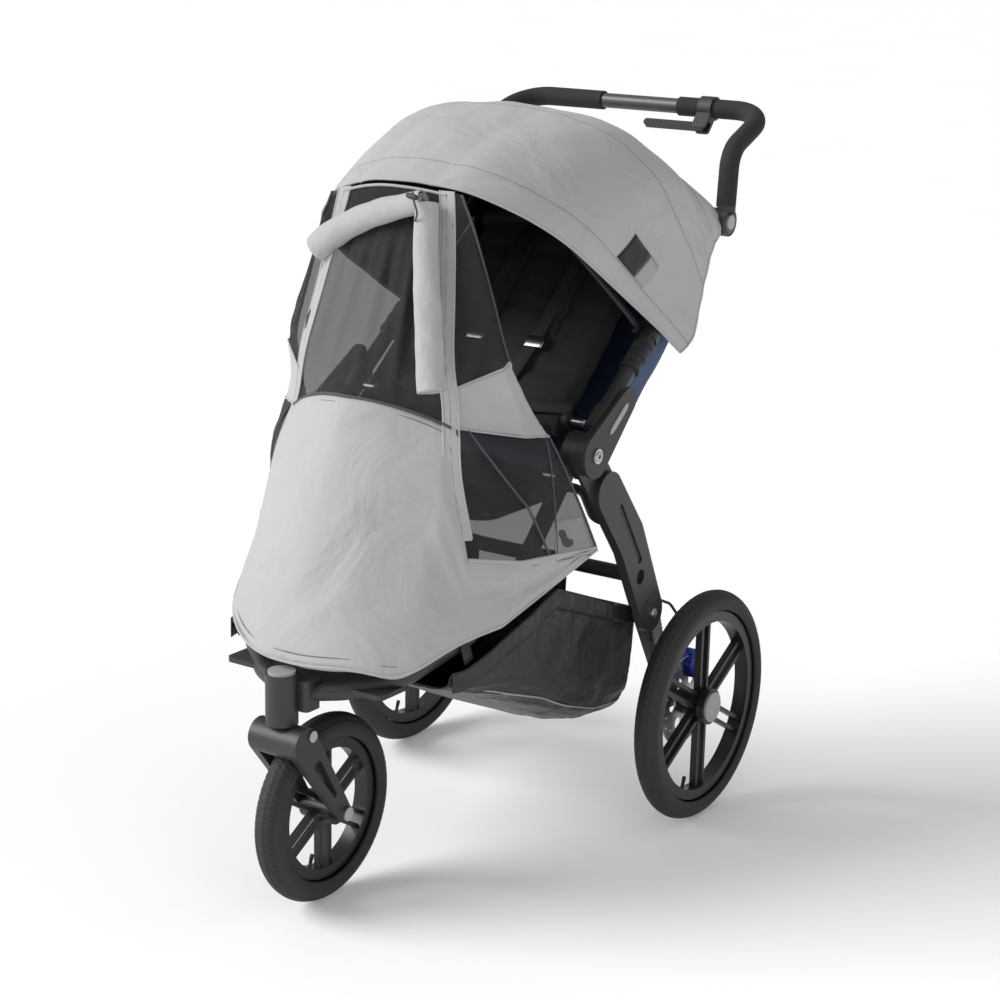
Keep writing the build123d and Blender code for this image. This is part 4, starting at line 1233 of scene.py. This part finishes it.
# ---------- metalwork ----------
NODE_FINISH = {
    "powder": ("head_tube", "front_arm_left", "front_arm_right", "front_fork", "rear_leg_left",
               "rear_leg_right", "rear_cross_tube", "leg_brace", "swing_arm_left", "swing_arm_right",
               "upper_tube_left", "upper_tube_right"),
    "plastic": ("footrest", "seat_board", "parking_brake_pedal", "joint_covers", "handle_joints",
                "brake_bracket"),
    "alloy": ("front_rim", "rear_rim_left", "rear_rim_right", "brake_lever"),
    "caps": ("swivel_lock_button", "hub_button_left", "hub_button_right", "handle_button_left",
             "handle_button_right"),
    "steel": ("headset_bearings", "fold_pins", "swing_pins", "steering_stem", "front_axle",
              "wheel_release_button", "brake_rotor_left", "brake_rotor_right"),
    "caliper": ("brake_caliper_left", "brake_caliper_right"),
    "cable": ("brake_cable_left", "brake_cable_right"),
    "foam": ("handle_grips",),
    "bar": ("handle_tube",),
}


class STROLLER_OT_metalwork(bpy.types.Operator):
    """Finishes the frame's own nodes and softens their edges"""
    bl_idname = "stroller.metalwork"
    bl_label = "Metalwork"

    def execute(self, context):
        for kind, names in NODE_FINISH.items():
            for name in names:
                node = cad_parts[name]
                node.data.materials.clear()
                node.data.materials.append(finish(kind))
                if kind in ("powder", "plastic", "alloy", "caps", "caliper"):
                    soft = node.modifiers.new("soft edges", "BEVEL")
                    soft.width = 0.0016
                    soft.segments = 2
                    soft.limit_method = "ANGLE"
                    soft.angle_limit = math.radians(38)
                    soft.harden_normals = False
        return {"FINISHED"}


# ---------- stage ----------
class STROLLER_OT_stage(bpy.types.Operator):
    """Sets the pale floor, the soft lights and the camera"""
    bl_idname = "stroller.stage"
    bl_label = "Stage"

    def execute(self, context):
        scene = context.scene
        floor_white = new_finish("studio floor", (0.88, 0.88, 0.88), 0.9, grain=40, grain_depth=0.00001,
                                 blotch=1.0, shift=0.01)
        data = bpy.data.meshes.new("studio_floor")
        floor_white.node_tree.nodes["Principled BSDF"].inputs["Emission Color"].default_value = (1, 1, 1, 1)
        floor_white.node_tree.nodes["Principled BSDF"].inputs["Emission Strength"].default_value = 0.14
        r, z = 120.0, -0.0005
        data.from_pydata([(-r, -r, z), (r, -r, z), (r, r, z), (-r, r, z)], [], [(0, 1, 2, 3)])
        data.materials.append(floor_white)
        floor = bpy.data.objects.new("studio_floor", data)
        scene.collection.objects.link(floor)
        world = bpy.data.worlds.new("studio")
        world.use_nodes = True
        world.node_tree.nodes["Background"].inputs["Color"].default_value = (1, 1, 1, 1)
        world.node_tree.nodes["Background"].inputs["Strength"].default_value = 0.46
        scene.world = world
        sun = bpy.data.lights.new("key", "SUN")
        sun.energy, sun.angle = 3.1, math.radians(38)
        key = bpy.data.objects.new("key", sun)
        key.rotation_euler = Vector((0.75, 0.62, -0.62)).to_track_quat("-Z", "Y").to_euler()
        scene.collection.objects.link(key)
        self.area("fill", (2.8, -1.6, 1.2), (0, 0, 0.4), 1.4, 9)
        scene.view_settings.view_transform = "Standard"
        self.camera(scene)
        return {"FINISHED"}

    def area(self, name, at, to, size, watts):
        light = bpy.data.lights.new(name, "AREA")
        light.shape, light.size, light.energy = "SQUARE", size, watts
        obj = bpy.data.objects.new(name, light)
        obj.location = at
        obj.rotation_euler = (Vector(to) - Vector(at)).to_track_quat("-Z", "Y").to_euler()
        bpy.context.scene.collection.objects.link(obj)

    def camera(self, scene):
        data = bpy.data.cameras.new("camera")
        data.lens, data.sensor_width = CAMERA_LENS, 36
        data.clip_start, data.clip_end = 0.05, 100
        obj = bpy.data.objects.new("camera", data)
        scene.collection.objects.link(obj)
        az, el, roll = (math.radians(v) for v in CAMERA_TURN)
        back = Vector((math.sin(az) * math.cos(el), -math.cos(az) * math.cos(el), math.sin(el)))
        level_right = Vector((math.cos(az), math.sin(az), 0))
        level_up = back.cross(level_right)
        right = level_right * math.cos(roll) + level_up * math.sin(roll)
        up = level_up * math.cos(roll) - level_right * math.sin(roll)
        m = Matrix((right, up, back)).transposed().to_4x4()
        m.translation = Vector(CAMERA_AT)
        obj.matrix_world = m
        scene.camera = obj


# ---------- panel ----------
class STROLLER_PT_panel(bpy.types.Panel):
    bl_label = "Stroller"
    bl_idname = "STROLLER_PT_panel"
    bl_space_type = "VIEW_3D"
    bl_region_type = "UI"
    bl_category = "Stroller"

    def draw(self, context):
        layout = self.layout
        for group in (context.scene.stroller_sizes, context.scene.stroller_colours):
            box = layout.box()
            for name in group.__annotations__:
                box.prop(group, name)
        for step in STEPS:
            layout.operator(step.bl_idname)


STEPS = (STROLLER_OT_stage, STROLLER_OT_metalwork, STROLLER_OT_hood, STROLLER_OT_shield,
         STROLLER_OT_rolls, STROLLER_OT_seat_shell, STROLLER_OT_basket, STROLLER_OT_seat,
         STROLLER_OT_tyres, STROLLER_OT_fittings)
CLASSES = (StrollerSizes, StrollerColours, *STEPS, STROLLER_PT_panel)


def register():
    for cls in CLASSES:
        bpy.utils.register_class(cls)
    bpy.types.Scene.stroller_sizes = PointerProperty(type=StrollerSizes)
    bpy.types.Scene.stroller_colours = PointerProperty(type=StrollerColours)


def unregister():
    del bpy.types.Scene.stroller_colours
    del bpy.types.Scene.stroller_sizes
    for cls in reversed(CLASSES):
        bpy.utils.unregister_class(cls)


def main():
    register()
    for step in STEPS:
        group, name = step.bl_idname.split(".")
        getattr(getattr(bpy.ops, group), name)()


if __name__ == "__main__":
    main()
